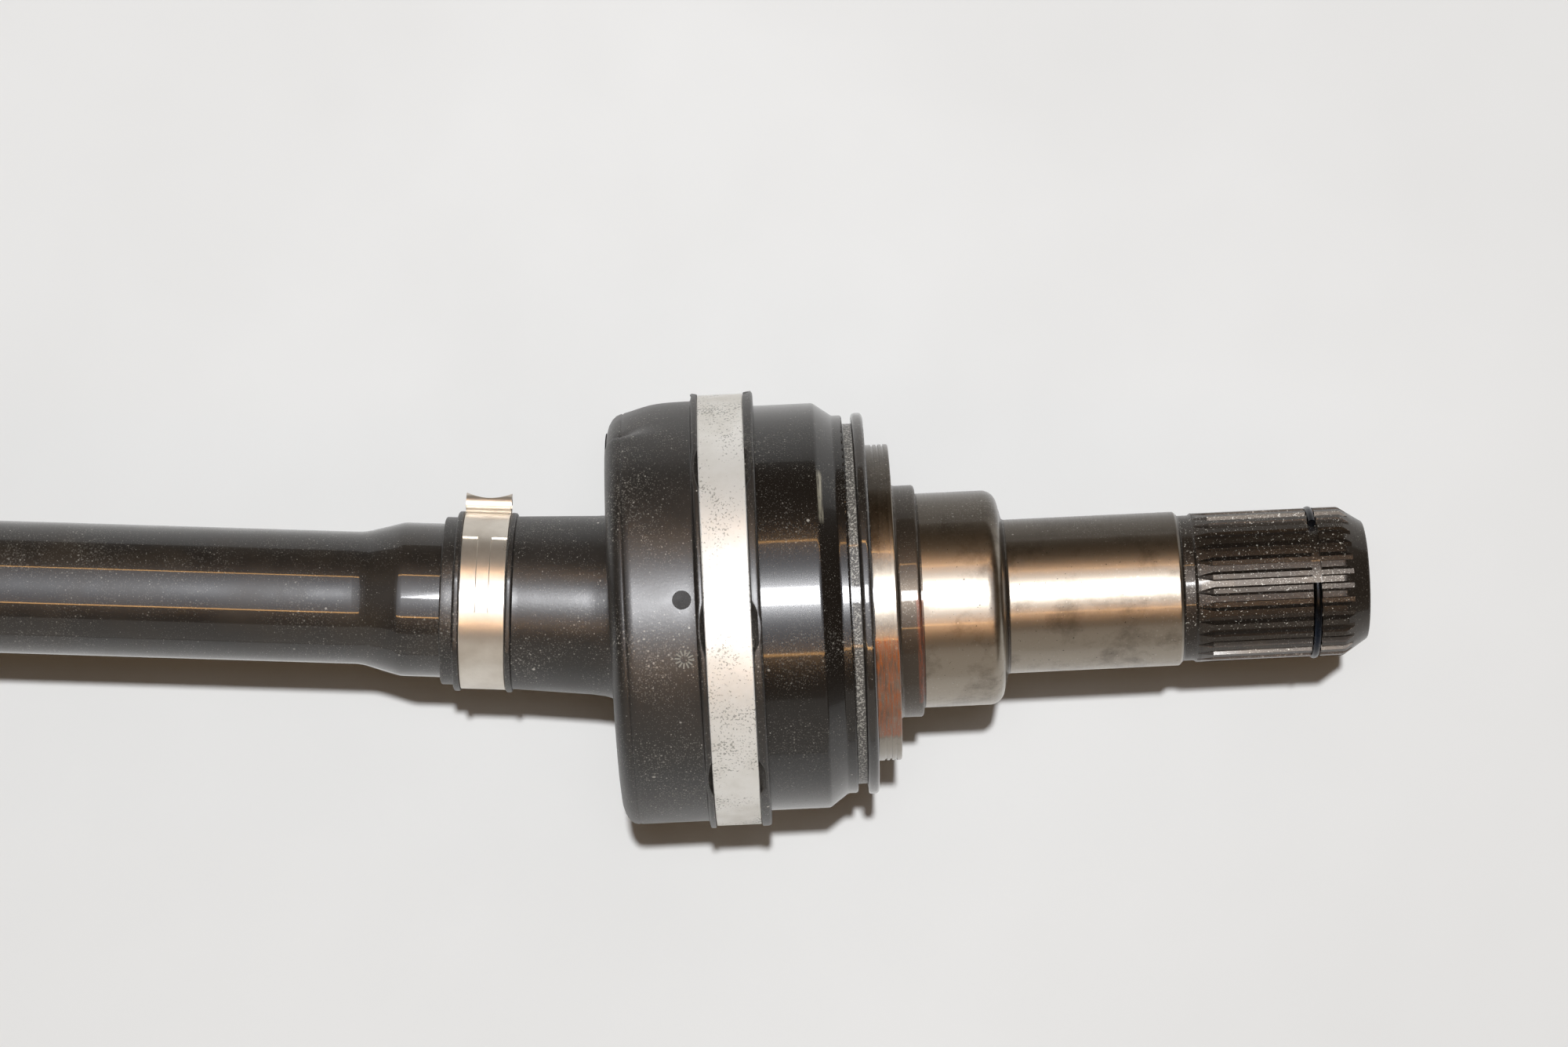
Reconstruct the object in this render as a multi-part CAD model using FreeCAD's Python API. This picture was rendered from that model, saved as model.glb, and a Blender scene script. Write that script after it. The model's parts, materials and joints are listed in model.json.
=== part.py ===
"""A car's drive shaft: a plunging ball joint and a fixed ball joint on one swaged tube.

The tube lies along X. The inboard joint is at the +X end and is bent a little towards +Y.
Each joint is drawn about its own centre, with its stub along +X, then turned and moved.
"""
import FreeCAD, Part
import math
import os

# Whole shaft
joint_spacing = 430.0
rest_bend = 4.45
running_gap = 0.1
seat_gap = 0.05
soft_gap = 0.3

# Tube and its ends
tube_radius = 15.2
tube_wall = 2.8
end_bore_radius = 5.5
boot_seat_radius = 17.65
race_seat_radius = 14.0
bar_neck_radius = 15.0
bar_end_chamfer = 0.8
seat_shoulder_length = 6.0
tube_taper_length = 9.0

# Inboard joint: eight balls that run in straight tracks
inboard_balls = 8
inboard_ball_radius = 8.0
inboard_race_floor = 10.0
inboard_bend_limit = 20.0
inboard_track_play = 0.6
inboard_track_base_gap = 0.15
inboard_cage_rim = 3.5
inboard_cage_rise = 2.9
inboard_cage_drop = 1.9
inboard_bar_end = 15.5
plunge_in = 12.5
plunge_out = 5.0

# Inboard housing
track_wall = 6.3
mouth_lip = 2.5
race_chamfer_length = 4.3
race_chamfer_drop = 3.1
race_rim_length = 2.2
race_end_inset = 3.4
race_groove_width = 2.1
race_groove_drop = 5.1
land_wall = 4.9
slinger_width = 2.7
slinger_drop = 2.7
land_width = 5.8
land_groove_depth = 0.35
step_width = 5.3
step_rise = 2.0
journal_radius = 24.6
journal_width = 18.0
journal_end_round = 3.6
stub_radius = 17.65
stub_width = 41.0
undercut_depth = 1.0
undercut_width = 4.0

# Inboard stub spline and its circlip
spline_radius = 17.1
spline_root_radius = 15.9
spline_teeth = 31
spline_width = 39.3
spline_run_out = 4.0
spline_end_round = 3.7
stub_clip_inset = 12.3
stub_clip_wire = 0.95
stub_clip_bury = 1.55
clip_opening = 55.0
centre_hole_radius = 3.0
centre_hole_depth = 9.0

# Wire stop ring in the housing's mouth
stop_wire_radius = 1.0
stop_ring_inset = 0.4

# Boot big ends and wide bands
band_width = 10.5
band_thickness = 1.0
band_centre = -0.75
boot_seat_thickness = 1.85
lip_height = 1.5
left_lip_width = 1.2
right_lip_width = 2.2
boot_wall = 2.4
lip_notches = 8
notch_half_length = 6.1
notch_share = 0.6
first_notch = 41.0
closure_length = 16.0
closure_rise = 1.3
closure_angle = -135.0

# Inboard boot
boot_body_rise = 1.7
boot_rim_round = 5.5
rim_beyond_mouth = 6.2
trough_run = 6.0
trough_round = 3.5
dome_radius = 37.6
neck_root_radius = 20.5
neck_end_radius = 19.8
neck_wall = 2.1
inboard_collar_start = 51.4

# Collars and ear clamps
collar_thickness = 1.5
collar_tail = 2.9
collar_lip_width = 1.5
collar_lip_height = 1.4
small_clamp_thickness = 0.8
ear_bulb = 2.5
ear_neck = 1.5
ear_height = 4.9
ear_saddle = 1.1
small_clamp_width = 10.5
clamp_overlap = 43.0
tongue_sweep = 53.0
tongue_width = 3.1
tongue_thickness = 0.35

# Snap rings on the bar
race_clip_width = 1.6
race_clip_depth = 1.0
race_clip_height = 1.7

# Outboard joint: six balls that run in curved tracks
outboard_balls = 6
outboard_ball_radius = 8.75
outboard_race_floor = 7.25
outboard_bend_limit = 42.0
outboard_track_play = 1.65
outboard_track_base_gap = 0.3
outboard_cage_rim = 4.2
outboard_cage_rise = 3.6
outboard_cage_drop = 1.4
outboard_bar_end = 15.0
outboard_neck_radius = 14.8
bell_track_wall = 7.35
bell_mouth = 19.0
bell_swing_gap = 1.0
bell_body_end = 8.0
bell_end_wall = 10.0
bell_boss_radius = 29.0
hub_stub_radius = 14.0
hub_spline_root_radius = 12.95
hub_spline_teeth = 27
hub_spline_width = 50.0
hub_thread_radius = 12.0
hub_thread_width = 27.0

# Outboard boot
outboard_band_centre = 9.5
boot_folds = 6
fold_start = 22.0
fold_first_crest = 46.5
fold_last_crest = 25.5
fold_first_depth = 11.0
fold_last_depth = 5.5
fold_pitch = 11.5
fold_wall = 3.0
outboard_collar_start = 96.0

# Worked out from the sizes above
ORIGIN = FreeCAD.Vector(0, 0, 0)
X_AXIS = FreeCAD.Vector(1, 0, 0)
Y_AXIS = FreeCAD.Vector(0, 1, 0)
Z_AXIS = FreeCAD.Vector(0, 0, 1)


def cosine(degrees):
    """Cosine of an angle in degrees."""
    return math.cos(math.radians(degrees))


def sine(degrees):
    """Sine of an angle in degrees."""
    return math.sin(math.radians(degrees))


def chord(radius, offset):
    """Half the chord of a circle at a distance from its centre."""
    return math.sqrt(radius * radius - offset * offset)


inboard_pitch_radius = race_seat_radius + inboard_race_floor + inboard_ball_radius
inboard_cage_outer = inboard_pitch_radius + inboard_cage_rise
inboard_cage_inner = inboard_pitch_radius - inboard_cage_drop
inboard_bore = inboard_cage_outer + running_gap
inboard_cage_half = inboard_ball_radius + inboard_cage_rim
inboard_race_sphere = inboard_cage_inner - soft_gap
outer_race_radius = inboard_pitch_radius + inboard_ball_radius + inboard_track_base_gap + track_wall
cage_tilt = math.degrees(math.asin(inboard_cage_half / inboard_cage_outer)) + inboard_bend_limit / 2
cage_reach = inboard_cage_outer * sine(cage_tilt)
cavity_floor = plunge_in + cage_reach + 2 * soft_gap
cavity_floor_radius = inboard_cage_outer * cosine(cage_tilt) + 3 * soft_gap
bar_reach = inboard_bar_end * cosine(inboard_bend_limit) + race_seat_radius * sine(inboard_bend_limit)
race_tilt = math.degrees(math.asin(inboard_cage_half / inboard_race_sphere)) + inboard_bend_limit
race_reach = inboard_race_sphere * sine(race_tilt)
well_radius = chord(inboard_race_sphere, cage_reach) + 2 * soft_gap
well_end = plunge_in + max(cage_reach, bar_reach, race_reach) + 2 * soft_gap
ball_swing = inboard_pitch_radius * sine(inboard_bend_limit / 2)
stop_ring_inner = inboard_pitch_radius + inboard_ball_radius * 0.2
stop_ring_x = -(plunge_out + ball_swing + chord(inboard_ball_radius, stop_ring_inner - inboard_pitch_radius)
                + stop_wire_radius + running_gap)
mouth_x = stop_ring_x - mouth_lip
race_end = cavity_floor - race_end_inset
groove_radius = outer_race_radius - race_groove_drop
slinger_start = race_end + race_groove_width
slinger_end = slinger_start + slinger_width
land_radius = cavity_floor_radius + land_wall
land_end = slinger_end + land_width
step_end = land_end + step_width
journal_end = step_end + journal_width
stub_end = journal_end + stub_width
undercut_end = stub_end + undercut_width
housing_end = undercut_end + spline_width
step_radius = journal_radius + step_rise

band_seat_radius = outer_race_radius + seat_gap + boot_seat_thickness
lip_radius = band_seat_radius + lip_height
band_start = band_centre - band_width / 2
band_end = band_centre + band_width / 2
boot_body_radius = outer_race_radius + boot_body_rise
boot_rim = mouth_x - rim_beyond_mouth

outboard_pitch_radius = race_seat_radius + outboard_race_floor + outboard_ball_radius
outboard_cage_outer = outboard_pitch_radius + outboard_cage_rise
outboard_cage_inner = outboard_pitch_radius - outboard_cage_drop
outboard_cage_half = outboard_ball_radius + outboard_cage_rim
outboard_race_sphere = outboard_cage_inner - soft_gap
bell_bore = outboard_cage_outer + running_gap
bell_radius = outboard_pitch_radius + outboard_ball_radius + outboard_track_base_gap + bell_track_wall
outboard_tilt = math.degrees(math.asin(outboard_cage_half / outboard_cage_outer)) + outboard_bend_limit / 2
outboard_race_tilt = (math.degrees(math.asin(outboard_cage_half / outboard_race_sphere))
                      + outboard_bend_limit)
bell_floor = max(outboard_cage_outer * sine(outboard_tilt),
                 outboard_race_sphere * sine(min(outboard_race_tilt, 90.0))) + 2 * soft_gap
hub_face = bell_floor + bell_end_wall
hub_spline_end = hub_face + hub_spline_width
hub_end = hub_spline_end + hub_thread_width

inboard_reach = housing_end * cosine(rest_bend) + (spline_radius - spline_end_round) * sine(rest_bend)
inboard_x = (joint_spacing + hub_end - inboard_reach) / 2
outboard_x = inboard_x - joint_spacing


def turned(nodes):
    """Solid of revolution about X.

    Each node is (x, radius), with a fillet radius as a third value if its corner is rounded, or
    with 0 and a middle point if an arc leads to it.
    """
    points = [FreeCAD.Vector(node[0], node[1], 0) for node in nodes]
    count = len(nodes)
    starts = list(points)
    ends = list(points)
    arcs = [None] * count
    for i in range(count):
        fillet = nodes[i][2] if len(nodes[i]) > 2 else 0
        if not fillet:
            continue
        before = points[i - 1] - points[i]
        after = points[(i + 1) % count] - points[i]
        room = 0.49 * min(before.Length, after.Length)
        half = before.getAngle(after) / 2
        reach = min(fillet / math.tan(half), room)
        radius = reach * math.tan(half)
        before.normalize()
        after.normalize()
        middle = before + after
        middle.normalize()
        starts[i] = points[i] + before * reach
        ends[i] = points[i] + after * reach
        arcs[i] = points[i] + middle * (radius / math.sin(half) - radius)
    edges = []
    for i in range(count):
        if arcs[i] is not None:
            edges.append(Part.Arc(starts[i], arcs[i], ends[i]).toShape())
        after = (i + 1) % count
        if len(nodes[after]) > 3:
            via = FreeCAD.Vector(nodes[after][3][0], nodes[after][3][1], 0)
            edges.append(Part.Arc(ends[i], via, starts[after]).toShape())
        elif (ends[i] - starts[after]).Length > 1e-6:
            edges.append(Part.makeLine(ends[i], starts[after]))
    face = Part.Face(Part.Wire(edges))
    return face.revolve(ORIGIN, X_AXIS, 360)


def ring(start, end, inner, outer, edge=0.0):
    """A plain ring about X, with its outer edges rounded."""
    return turned([(start, inner), (start, outer, edge), (end, outer, edge), (end, inner)])


def spun(shape, degrees):
    """A copy turned about X."""
    copy = shape.copy()
    copy.rotate(ORIGIN, X_AXIS, degrees)
    return copy


def placed(shape, x, turn):
    """A copy turned about Z, then moved along X."""
    copy = shape.copy()
    copy.rotate(ORIGIN, Z_AXIS, turn)
    copy.translate(FreeCAD.Vector(x, 0, 0))
    return copy


def around(shape, count, first=0.0):
    """Copies of a shape, evenly spaced about X."""
    return [spun(shape, first + 360.0 * i / count) for i in range(count)]


def prism(points, direction):
    """Solid pushed from a closed polygon."""
    wire = Part.makePolygon(points + [points[0]])
    return Part.Face(wire).extrude(direction)


def box(low_x, high_x, low_y, high_y, half_z):
    """A box, centred across Z."""
    corner = FreeCAD.Vector(low_x, low_y, -half_z)
    return Part.makeBox(high_x - low_x, high_y - low_y, 2 * half_z, corner)


def straight_track(start, end, centre_radius, groove):
    """Cutter of one straight ball track, with a round end at +X."""
    rod = Part.makeCylinder(groove, end - start, FreeCAD.Vector(start, centre_radius, 0), X_AXIS)
    return rod.fuse(Part.makeSphere(groove, FreeCAD.Vector(end, centre_radius, 0)))


def curved_track(centre_radius, groove, sweep):
    """Cutter of one ball track that curves about the joint's centre."""
    circle = Part.makeCircle(groove, FreeCAD.Vector(0, centre_radius, 0), X_AXIS)
    face = Part.Face(Part.Wire([circle]))
    face.rotate(ORIGIN, Z_AXIS, -sweep)
    return face.revolve(ORIGIN, Z_AXIS, 2 * sweep)


def cage_body(outer, inner, half, count, ball_radius, play):
    """Spherical cage with one window for each ball."""
    shell = Part.makeSphere(outer).cut(Part.makeSphere(inner))
    shell = shell.common(Part.makeCylinder(outer + 1, 2 * half, FreeCAD.Vector(-half, 0, 0), X_AXIS))
    across = ball_radius + seat_gap
    along = ball_radius + play
    window = box(-across, across, inner / 2, outer * 1.3, along)
    corners = [edge for edge in window.Edges if abs(edge.tangentAt(edge.FirstParameter).y) > 0.9]
    window = window.makeFillet(ball_radius * 0.45, corners)
    return shell.cut(around(window, count))


def inner_race(sphere, half, count, ball_radius, pitch, play, base_gap):
    """Inner race: a sphere with curved tracks and a bore."""
    groove = ball_radius + play
    centre_radius = pitch + play - base_gap
    body = Part.makeSphere(sphere)
    body = body.common(Part.makeCylinder(sphere + 1, 2 * half, FreeCAD.Vector(-half, 0, 0), X_AXIS))
    body = body.cut(Part.makeCylinder(race_seat_radius, 4 * half, FreeCAD.Vector(-2 * half, 0, 0), X_AXIS))
    return body.cut(around(curved_track(centre_radius, groove, 40.0), count))


def open_ring(x, centre_radius, wire, opening, middle):
    """Wire ring about X with a gap whose middle stands at an angle from +Y."""
    circle = Part.makeCircle(wire, FreeCAD.Vector(x, centre_radius, 0), Z_AXIS)
    face = Part.Face(Part.Wire([circle]))
    whole = face.revolve(ORIGIN, X_AXIS, 360.0 - opening)
    return spun(whole, middle + opening / 2)


def spline_cutters(start, end, tip, root, teeth, run_out):
    """Tooth gaps of a spline, each rising to a point at its left end."""
    pitch_angle = math.pi / teeth
    top = tip * math.sin(pitch_angle * 0.62)
    base = root * math.sin(pitch_angle * 0.34)
    above = tip + 0.9
    slope = (top - base) / (tip - root)

    def section(x, bottom, half_base):
        half_top = half_base + slope * (above - bottom)
        points = [FreeCAD.Vector(x, bottom, -half_base), FreeCAD.Vector(x, bottom, half_base),
                  FreeCAD.Vector(x, above, half_top), FreeCAD.Vector(x, above, -half_top)]
        return Part.makePolygon(points + [points[0]])

    sections = [section(start, tip + 0.02, base * 0.2), section(start + run_out, root, base),
                section(end + 1, root, base)]
    gap = Part.makeLoft(sections, True, True)
    return around(gap, teeth)


def centre_hole(end):
    """Centre drilling in a stub's end face."""
    mouth = centre_hole_radius * 1.7
    cone = mouth - centre_hole_radius
    return turned([(end + 1, 0), (end + 1, mouth + 1), (end - cone, centre_hole_radius),
                   (end - centre_hole_depth, centre_hole_radius),
                   (end - centre_hole_depth - centre_hole_radius * 0.6, 0)])


def inboard_outer_race():
    """Housing, journal, stub and spline in one forging."""
    tip = spline_radius
    seat_step = outer_race_radius - boot_body_rise
    floor_cone = cavity_floor - (inboard_bore - cavity_floor_radius) * 1.4
    body = turned([
        (mouth_x, inboard_bore + 0.8), (mouth_x, seat_step, 2.0), (band_start - left_lip_width - 1.5, seat_step),
        (band_start - left_lip_width - 0.2, outer_race_radius, 0.5),
        (race_end - race_rim_length - race_chamfer_length, outer_race_radius, 1.5),
        (race_end - race_rim_length, outer_race_radius - race_chamfer_drop, 1.0),
        (race_end, outer_race_radius - race_chamfer_drop, 0.5), (race_end, groove_radius),
        (slinger_start, groove_radius), (slinger_start, land_radius),
        (land_end - 0.3, land_radius, 0.4), (land_end, step_radius, 0.8), (step_end, step_radius, 0.8),
        (step_end, journal_radius), (journal_end, journal_radius, journal_end_round),
        (journal_end + 1.7, stub_radius, 0.8), (stub_end, stub_radius, 0.4),
        (stub_end + undercut_depth, stub_radius - undercut_depth, 0.5),
        (undercut_end - undercut_depth * 0.6, stub_radius - undercut_depth, 0.4), (undercut_end, tip, 0.3),
        (housing_end - spline_end_round - 2.0, tip, 2.0), (housing_end, tip - spline_end_round, 0.8),
        (housing_end, 0), (well_end + well_radius * 0.2, 0), (well_end, well_radius, 1.5),
        (cavity_floor, well_radius), (cavity_floor, cavity_floor_radius, 1.0),
        (floor_cone, inboard_bore, 2.0), (mouth_x + 0.8, inboard_bore)])
    groove = inboard_ball_radius + inboard_track_play
    centre_radius = inboard_pitch_radius - inboard_track_play + inboard_track_base_gap
    track = straight_track(mouth_x - 5, plunge_in + ball_swing + running_gap, centre_radius, groove)
    clip_x = housing_end - stub_clip_inset
    clip_floor = tip - stub_clip_bury
    grooves = [ring(clip_x - stub_clip_wire * 1.1, clip_x + stub_clip_wire * 1.1, clip_floor, tip + 2)]
    for i in range(3):
        x = slinger_end + land_width * (0.28 + 0.2 * i)
        grooves.append(ring(x, x + 0.5, land_radius - land_groove_depth, land_radius + 1))
    outer_half = stop_wire_radius + stop_ring_inset
    ring_floor = stop_ring_inner + 2 * stop_wire_radius + seat_gap
    grooves.append(ring(stop_ring_x - outer_half, stop_ring_x + outer_half, 20.0, ring_floor))
    body = body.cut(around(track, inboard_balls))
    body = body.cut(grooves + [centre_hole(housing_end)])
    teeth = spline_cutters(undercut_end - 0.5, housing_end, tip, spline_root_radius, spline_teeth,
                           spline_run_out)
    return body.cut(teeth)


def outboard_bell():
    """Bell, hub stub and thread shank in one forging."""
    groove = outboard_ball_radius + outboard_track_play
    centre_radius = outboard_pitch_radius - outboard_track_play + outboard_track_base_gap
    swing = outboard_bend_limit
    slack = outboard_neck_radius / cosine(swing) + bell_swing_gap
    mouth_radius = bell_mouth * math.tan(math.radians(swing)) + slack
    land = bell_bore * 0.4
    land_radius_there = chord(bell_bore, land)
    boss = (bell_radius + bell_boss_radius) / 2
    body = turned([
        (-bell_mouth, mouth_radius), (-bell_mouth, bell_radius, 1.0), (bell_body_end, bell_radius, 4.0),
        (bell_floor - 3, boss + 2, 8.0), (hub_face - 5, bell_boss_radius, 3.0),
        (hub_face, bell_boss_radius, 1.0), (hub_face, hub_stub_radius, 1.0),
        (hub_spline_end - 1.5, hub_stub_radius, 0.5), (hub_spline_end + 0.5, hub_thread_radius, 0.3),
        (hub_end - 1.5, hub_thread_radius, 0.3), (hub_end, hub_thread_radius - 1.5), (hub_end, 0),
        (bell_floor, 0), (bell_floor, chord(bell_bore, bell_floor)),
        (-land, land_radius_there, 0, (0, bell_bore))])
    body = body.cut(around(curved_track(centre_radius, groove, outboard_bend_limit / 2 + 16), outboard_balls))
    teeth = spline_cutters(hub_face + 3, hub_spline_end, hub_stub_radius, hub_spline_root_radius,
                           hub_spline_teeth, spline_run_out)
    return body.cut(teeth + [centre_hole(hub_end)])


def drive_bar():
    """Swaged tube with a boot seat, a neck and a race seat at each end."""
    inner = tube_radius - tube_wall

    def half(centre, side, end, race_half, neck, seat_start, seat_end):
        """Outline of one end, from its end face to where the tube starts."""
        marks = [(end, race_seat_radius - bar_end_chamfer), (end - bar_end_chamfer, race_seat_radius),
                 (-race_half, race_seat_radius), (-race_half, neck, 0.3),
                 (-seat_start, neck, 4.0), (-seat_start - seat_shoulder_length, boot_seat_radius, 4.0),
                 (-seat_end, boot_seat_radius, 6.0), (-seat_end - tube_taper_length, tube_radius, 12.0)]
        return [(centre + side * mark[0],) + mark[1:] for mark in marks]

    collar = small_clamp_width + 2 * collar_lip_width + collar_tail
    seat_spare = 8.0
    right = half(inboard_x, 1, inboard_bar_end, inboard_cage_half, bar_neck_radius,
                 inboard_collar_start - collar_lip_width - seat_shoulder_length - 1,
                 inboard_collar_start + collar + seat_spare)
    left = half(outboard_x, -1, outboard_bar_end, outboard_cage_half, outboard_neck_radius,
                outboard_collar_start - collar_lip_width - seat_shoulder_length - 1,
                outboard_collar_start + collar + seat_spare)
    bar = turned(right + left[::-1] + [(outboard_x - outboard_bar_end, 0), (inboard_x + inboard_bar_end, 0)])
    wide_end_in = inboard_x - inboard_collar_start - collar - seat_spare - tube_taper_length * 2
    wide_end_out = outboard_x + outboard_collar_start + collar + seat_spare + tube_taper_length * 2
    cone = (inner - end_bore_radius) * 2.5
    bore = turned([
        (inboard_x + 40, 0), (inboard_x + 40, end_bore_radius), (wide_end_in + cone, end_bore_radius, 10.0),
        (wide_end_in, inner, 10.0), (wide_end_out, inner, 10.0), (wide_end_out - cone, end_bore_radius, 10.0),
        (outboard_x - 40, end_bore_radius), (outboard_x - 40, 0)])
    clips = []
    for centre, side, half_width in ((inboard_x, 1, inboard_cage_half), (outboard_x, -1, outboard_cage_half)):
        low = centre + side * half_width
        high = low + side * race_clip_width
        clips.append(ring(min(low, high), max(low, high), race_seat_radius - race_clip_depth,
                          race_seat_radius + 2))
    return bar.cut([bore] + clips)


def race_circlip(centre, side, half_width, angle):
    """Flat snap ring that keeps an inner race on the bar."""
    low = centre + side * half_width
    high = low + side * race_clip_width
    whole = ring(min(low, high), max(low, high), race_seat_radius - race_clip_depth,
                 race_seat_radius + race_clip_height)
    slot = box(min(low, high) - 1, max(low, high) + 1, 0, race_seat_radius * 2, 3.0)
    return whole.cut(spun(slot, angle))


def big_end_cuts(left, right):
    """Lens-shaped notches that a boot's two lips have beside the band."""
    cuts = []
    for edge, way, width in ((left, -1, left_lip_width), (right, 1, right_lip_width)):
        sag = width * notch_share
        radius = (notch_half_length ** 2 + sag ** 2) / (2 * sag)
        centre = edge - way * (radius - sag)
        lens = Part.makeCylinder(radius, lip_height + 2, FreeCAD.Vector(centre, band_seat_radius, 0), Y_AXIS)
        middle = edge + way * sag
        keep = box(min(edge, middle), max(edge, middle), band_seat_radius, band_seat_radius + lip_height + 2,
                   notch_half_length + 1)
        cuts += around(lens.common(keep), lip_notches, first_notch)
    return cuts


def inboard_boot():
    """Rolling boot: a wide body that folds in to a long neck."""
    left = band_start
    right = band_end
    dome_inner = dome_radius - boot_wall

    def on_dome(radius, angle):
        return (-radius * cosine(angle), radius * sine(angle))

    first = 27.0
    last = 42.0
    middle = (first + last) / 2
    outer_end = on_dome(dome_radius, last)
    inner_end = on_dome(dome_inner, last)
    run = (trough_run * sine(last), trough_run * cosine(last))
    trough = (outer_end[0] + run[0], outer_end[1] + run[1], trough_round)
    inner_trough = (inner_end[0] + run[0], inner_end[1] + run[1], trough_round + boot_wall)
    rim_radius = boot_body_radius - boot_rim_round - 4.5
    inner_rim = boot_rim + boot_wall
    seat = outer_race_radius + seat_gap
    seat_left = left - left_lip_width
    body_inner = boot_body_radius - boot_wall
    big = turned([
        (right + right_lip_width, seat), (right + right_lip_width, lip_radius, 0.5), (right, lip_radius, 0.3),
        (right, band_seat_radius), (left, band_seat_radius), (left, lip_radius, 0.3),
        (seat_left, lip_radius, 0.4), (seat_left - 0.4, boot_body_radius, 0.5),
        (boot_rim, boot_body_radius, boot_rim_round), (boot_rim, rim_radius, 3.0),
        trough, outer_end,
        on_dome(dome_radius, first) + (0, on_dome(dome_radius, middle)),
        on_dome(dome_inner, first),
        inner_end + (0, on_dome(dome_inner, middle)),
        inner_trough, (inner_rim, rim_radius - 1.0, 1.0), (inner_rim, body_inner, boot_rim_round - boot_wall),
        (seat_left - 1.2, body_inner, 0.3), (seat_left - 0.2, seat)])
    big = big.cut(big_end_cuts(left, right))
    start = -inboard_collar_start
    collar = boot_seat_radius + seat_gap + collar_thickness
    lip = collar + collar_lip_height
    clamp_end = start - small_clamp_width
    tail = clamp_end - collar_lip_width - collar_tail
    base = dome_radius - boot_wall / 2
    bore = boot_seat_radius + seat_gap
    neck_bore = neck_root_radius - neck_wall
    bore_end = start + collar_lip_width + 1
    neck = turned([
        (tail, bore), (tail, collar, 0.4), (clamp_end - collar_lip_width, collar), (clamp_end - collar_lip_width, lip, 0.5),
        (clamp_end, lip, 0.4), (clamp_end, collar), (start, collar), (start, lip, 0.4),
        (start + collar_lip_width, lip, 0.5), (start + collar_lip_width, neck_end_radius, 0.4),
        (-dome_radius * cosine(34) - 2, neck_root_radius, 2.0),
        (-base * cosine(34) + 0.6, neck_root_radius + 1.0), (-base * cosine(31), neck_bore), (bore_end, bore)])
    hole = turned([(bore_end, 0), (bore_end, bore), (-base * cosine(31), neck_bore), (-20, neck_bore), (-20, 0)])
    return big_and_neck(big, neck, hole)


def big_and_neck(big, neck, hole):
    """Join a big end that follows the housing with a neck that follows the bar."""
    tilted = big.copy()
    tilted.rotate(ORIGIN, Z_AXIS, rest_bend)
    return tilted.fuse(neck).cut(hole)


def outboard_boot():
    """Pleated boot whose folds shrink from the bell to the bar."""
    left = band_start + outboard_band_centre
    right = band_end + outboard_band_centre
    seat = bell_radius + seat_gap
    band_seat = seat + boot_seat_thickness
    lip = band_seat + lip_height
    body = bell_radius + boot_body_rise
    crests = []
    valleys = []
    for i in range(boot_folds):
        share = i / (boot_folds - 1)
        crest = fold_first_crest + (fold_last_crest - fold_first_crest) * share
        depth = fold_first_depth + (fold_last_depth - fold_first_depth) * share
        crests.append((fold_start + fold_pitch * i, crest))
        valleys.append((fold_start + fold_pitch * (i + 0.5), crest - depth))
    crests[0] = (fold_start, body)
    folds = []
    for crest, valley in zip(crests, valleys):
        folds.append((crest[0], crest[1], 2.2))
        folds.append((valley[0], valley[1], 2.0))
    start = outboard_collar_start
    collar = boot_seat_radius + seat_gap + collar_thickness
    collar_lip = collar + collar_lip_height
    clamp_end = start + small_clamp_width
    tail = clamp_end + collar_lip_width + collar_tail
    bore = boot_seat_radius + seat_gap
    outer = [(left - right_lip_width, seat), (left - right_lip_width, lip, 0.5), (left, lip, 0.3),
             (left, band_seat), (right, band_seat), (right, lip, 0.3), (right + left_lip_width, lip, 0.4),
             (right + left_lip_width + 0.4, body, 0.4)] + folds
    outer += [(start - collar_lip_width, collar + 0.6, 0.5), (start - collar_lip_width, collar_lip, 0.4),
              (start, collar_lip, 0.4), (start, collar), (clamp_end, collar), (clamp_end, collar_lip, 0.4),
              (clamp_end + collar_lip_width, collar_lip, 0.5), (clamp_end + collar_lip_width, collar),
              (tail, collar, 0.4), (tail, bore)]
    inner = [(start - collar_lip_width - 1, bore)]
    for x, radius, fillet in reversed(folds):
        inner.append((x, radius - fold_wall, fillet))
    inner[-1] = (fold_start - 1, seat, 0.5)
    return turned(outer + inner)


def wide_band(centre, seat):
    """Wide clamp band with a low closure on the side that faces the ground."""
    start = centre - band_width / 2
    end = centre + band_width / 2
    inner = seat + boot_seat_thickness + seat_gap
    outer = inner + band_thickness
    band = ring(start + seat_gap, end - seat_gap, inner, outer, 0.3)
    top = outer + closure_rise
    half = math.degrees(closure_length / outer) / 2
    lump = ring(start + 1.0, end - 1.0, outer - 0.3, top, 0.4)
    wedge = prism([ORIGIN, FreeCAD.Vector(0, 2 * top * cosine(half), -2 * top * sine(half)),
                   FreeCAD.Vector(0, 2 * top * cosine(half), 2 * top * sine(half))],
                  FreeCAD.Vector(band_width * 3, 0, 0))
    wedge.translate(FreeCAD.Vector(start - band_width, 0, 0))
    hook = spun(lump.common(wedge), closure_angle)
    return band.fuse(hook).removeSplitter()


def sector(shape, low, high):
    """The part of a ring about X between two angles, measured from +Z towards +Y."""
    reach = 2 * shape.BoundBox.YMax
    middle = (low + high) / 2
    half = (high - low) / 2
    points = [ORIGIN] + [FreeCAD.Vector(0, reach * sine(middle + turn), reach * cosine(middle + turn))
                         for turn in (-half, 0, half)]
    wedge = prism(points, FreeCAD.Vector(shape.BoundBox.XLength + 2, 0, 0))
    wedge.translate(FreeCAD.Vector(shape.BoundBox.XMin - 1, 0, 0))
    return shape.common(wedge)


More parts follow.
